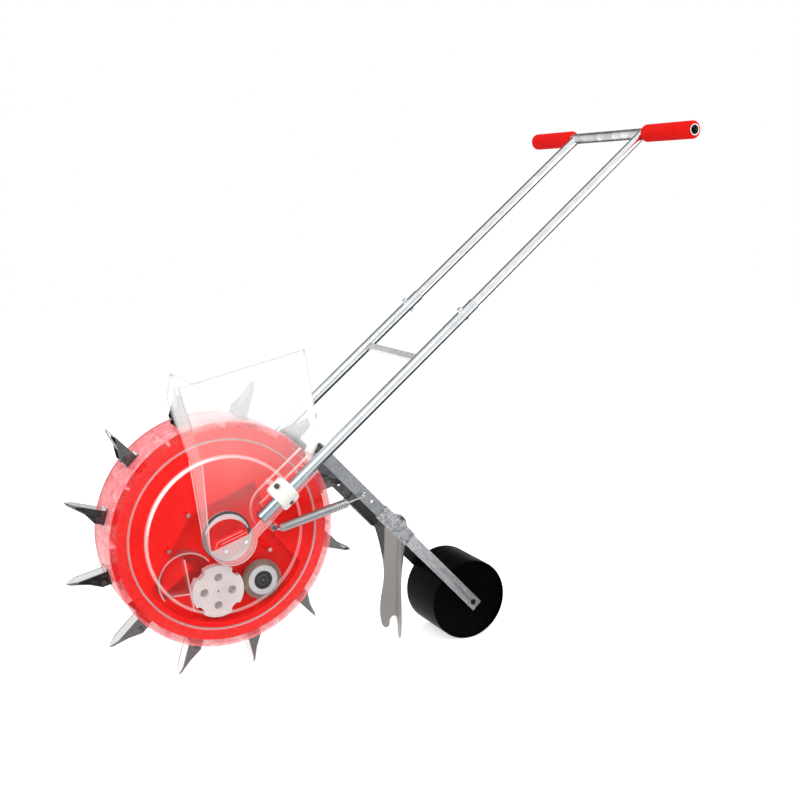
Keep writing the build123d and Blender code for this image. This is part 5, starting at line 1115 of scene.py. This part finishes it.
def flat_sheet(name, low, high, material):
    """Rectangle (x0, y0, z0), (x1, y0, z0), (x1, y1, z1), (x0, y1, z1) between a low and a high corner."""
    low_right = (high[0], low[1], low[2])
    high_left = (low[0], high[1], high[2])
    mesh = bpy.data.meshes.new(name)
    mesh.from_pydata([low, low_right, high, high_left], [], [(0, 1, 2, 3)])
    mesh.materials.append(material)
    sheet = bpy.data.objects.new(name, mesh)
    bpy.context.scene.collection.objects.link(sheet)
    return sheet


floor_white, floor_tree, floor_shader = start_material(
    "floor_white", Base_Color=(FLOOR_GREY, FLOOR_GREY, FLOOR_GREY, 1.0), Roughness=0.9, Emission_Color=WHITE
)
floor_glow = product_of(floor_tree, seen_directly(floor_tree), FLOOR_GLOW)
floor_tree.links.new(floor_glow, floor_shader.inputs["Emission Strength"])
floor_low = (-FLOOR_SIZE, -FLOOR_SIZE, -FLOOR_DROP)
floor_high = (FLOOR_SIZE, FLOOR_SIZE, -FLOOR_DROP)
floor = flat_sheet("floor", floor_low, floor_high, floor_white)

world = bpy.data.worlds.new("white_room")
bpy.context.scene.world = world
world.use_nodes = True
sky = world.node_tree.nodes["Background"]
sky.inputs["Color"].default_value = WHITE
room_light = map_of(world.node_tree, seen_directly(world.node_tree), 0.0, 1.0, ROOM_LIGHT, ROOM_SEEN)
world.node_tree.links.new(room_light, sky.inputs["Strength"])

# Dark cards that only reflections see, so that the bright metal shows dark edges: name, grey, low corner,
# high corner
CARD_LIFT = 1.0 * MM
DARK_CARDS = (
    ("right_card", 0.07, (0.30, -0.8, CARD_LIFT), (4.5, 3.0, CARD_LIFT)),
    ("left_card", 0.04, (-2.5, -2.4, CARD_LIFT), (-0.1, -0.42, CARD_LIFT)),
    ("back_card", 0.15, (0.2, 3.0, 0.9), (3.5, 3.0, 2.9)),
    ("top_card", 0.14, (-1.4, 0.8, 3.0), (2.5, 3.4, 3.0)),
)
for card_name, grey, low, high in DARK_CARDS:
    card_grey = start_material(
        card_name, Base_Color=(grey, grey, grey, 1.0), Roughness=1.0, Specular_IOR_Level=0.0
    )[0]
    card = flat_sheet(card_name, low, high, card_grey)
    hide_from_light(card)
    card.visible_camera = False
    card.visible_transmission = False

# Soft lamps: name, place, size, power and whether reflections show it
LAMP_AIM = Vector((0.0, 0.0, 0.4))
LAMPS = (
    ("key_lamp", (-1.8, -2.2, 2.6), 1.8, 52.0, True),
    ("fill_lamp", (2.2, -1.6, 1.6), 2.0, 20.0, True),
    ("back_lamp", (0.4, 2.4, 2.2), 1.6, 18.0, False),
)
for lamp_name, place, size, power, reflected in LAMPS:
    lamp_data = bpy.data.lights.new(lamp_name, "AREA")
    lamp_data.size = size
    lamp_data.energy = power
    lamp = bpy.data.objects.new(lamp_name, lamp_data)
    lamp.location = place
    lamp.visible_glossy = reflected
    aim = LAMP_AIM - lamp.location
    lamp.rotation_euler = aim.to_track_quat("-Z", "Y").to_euler()
    bpy.context.scene.collection.objects.link(lamp)

# Camera
TRANSPARENT_BOUNCES = 24
azimuth = math.radians(CAMERA_AZIMUTH)
elevation = math.radians(CAMERA_ELEVATION)
roll = math.radians(CAMERA_ROLL)
back = Vector(
    (
        math.sin(azimuth) * math.cos(elevation),
        -math.cos(azimuth) * math.cos(elevation),
        math.sin(elevation),
    )
)
level_right = Vector((math.cos(azimuth), math.sin(azimuth), 0.0))
level_up = back.cross(level_right)
right = level_right * math.cos(roll) + level_up * math.sin(roll)
upright = level_up * math.cos(roll) - level_right * math.sin(roll)
camera_data = bpy.data.cameras.new("photo_camera")
camera_data.sensor_width = CAMERA_SENSOR
camera_data.lens = CAMERA_SENSOR * CAMERA_FOCAL_PIXELS / IMAGE_PIXELS
camera = bpy.data.objects.new("photo_camera", camera_data)
camera.matrix_world = Matrix.Translation(
    Vector((DRUM_X, 0.0, DRUM_Z)) + CAMERA_FROM_DRUM
) @ Matrix((right, upright, back)).transposed().to_4x4()
bpy.context.scene.collection.objects.link(camera)
bpy.context.scene.camera = camera
bpy.context.scene.view_settings.view_transform = "Standard"
bpy.context.scene.cycles.transparent_max_bounces = TRANSPARENT_BOUNCES
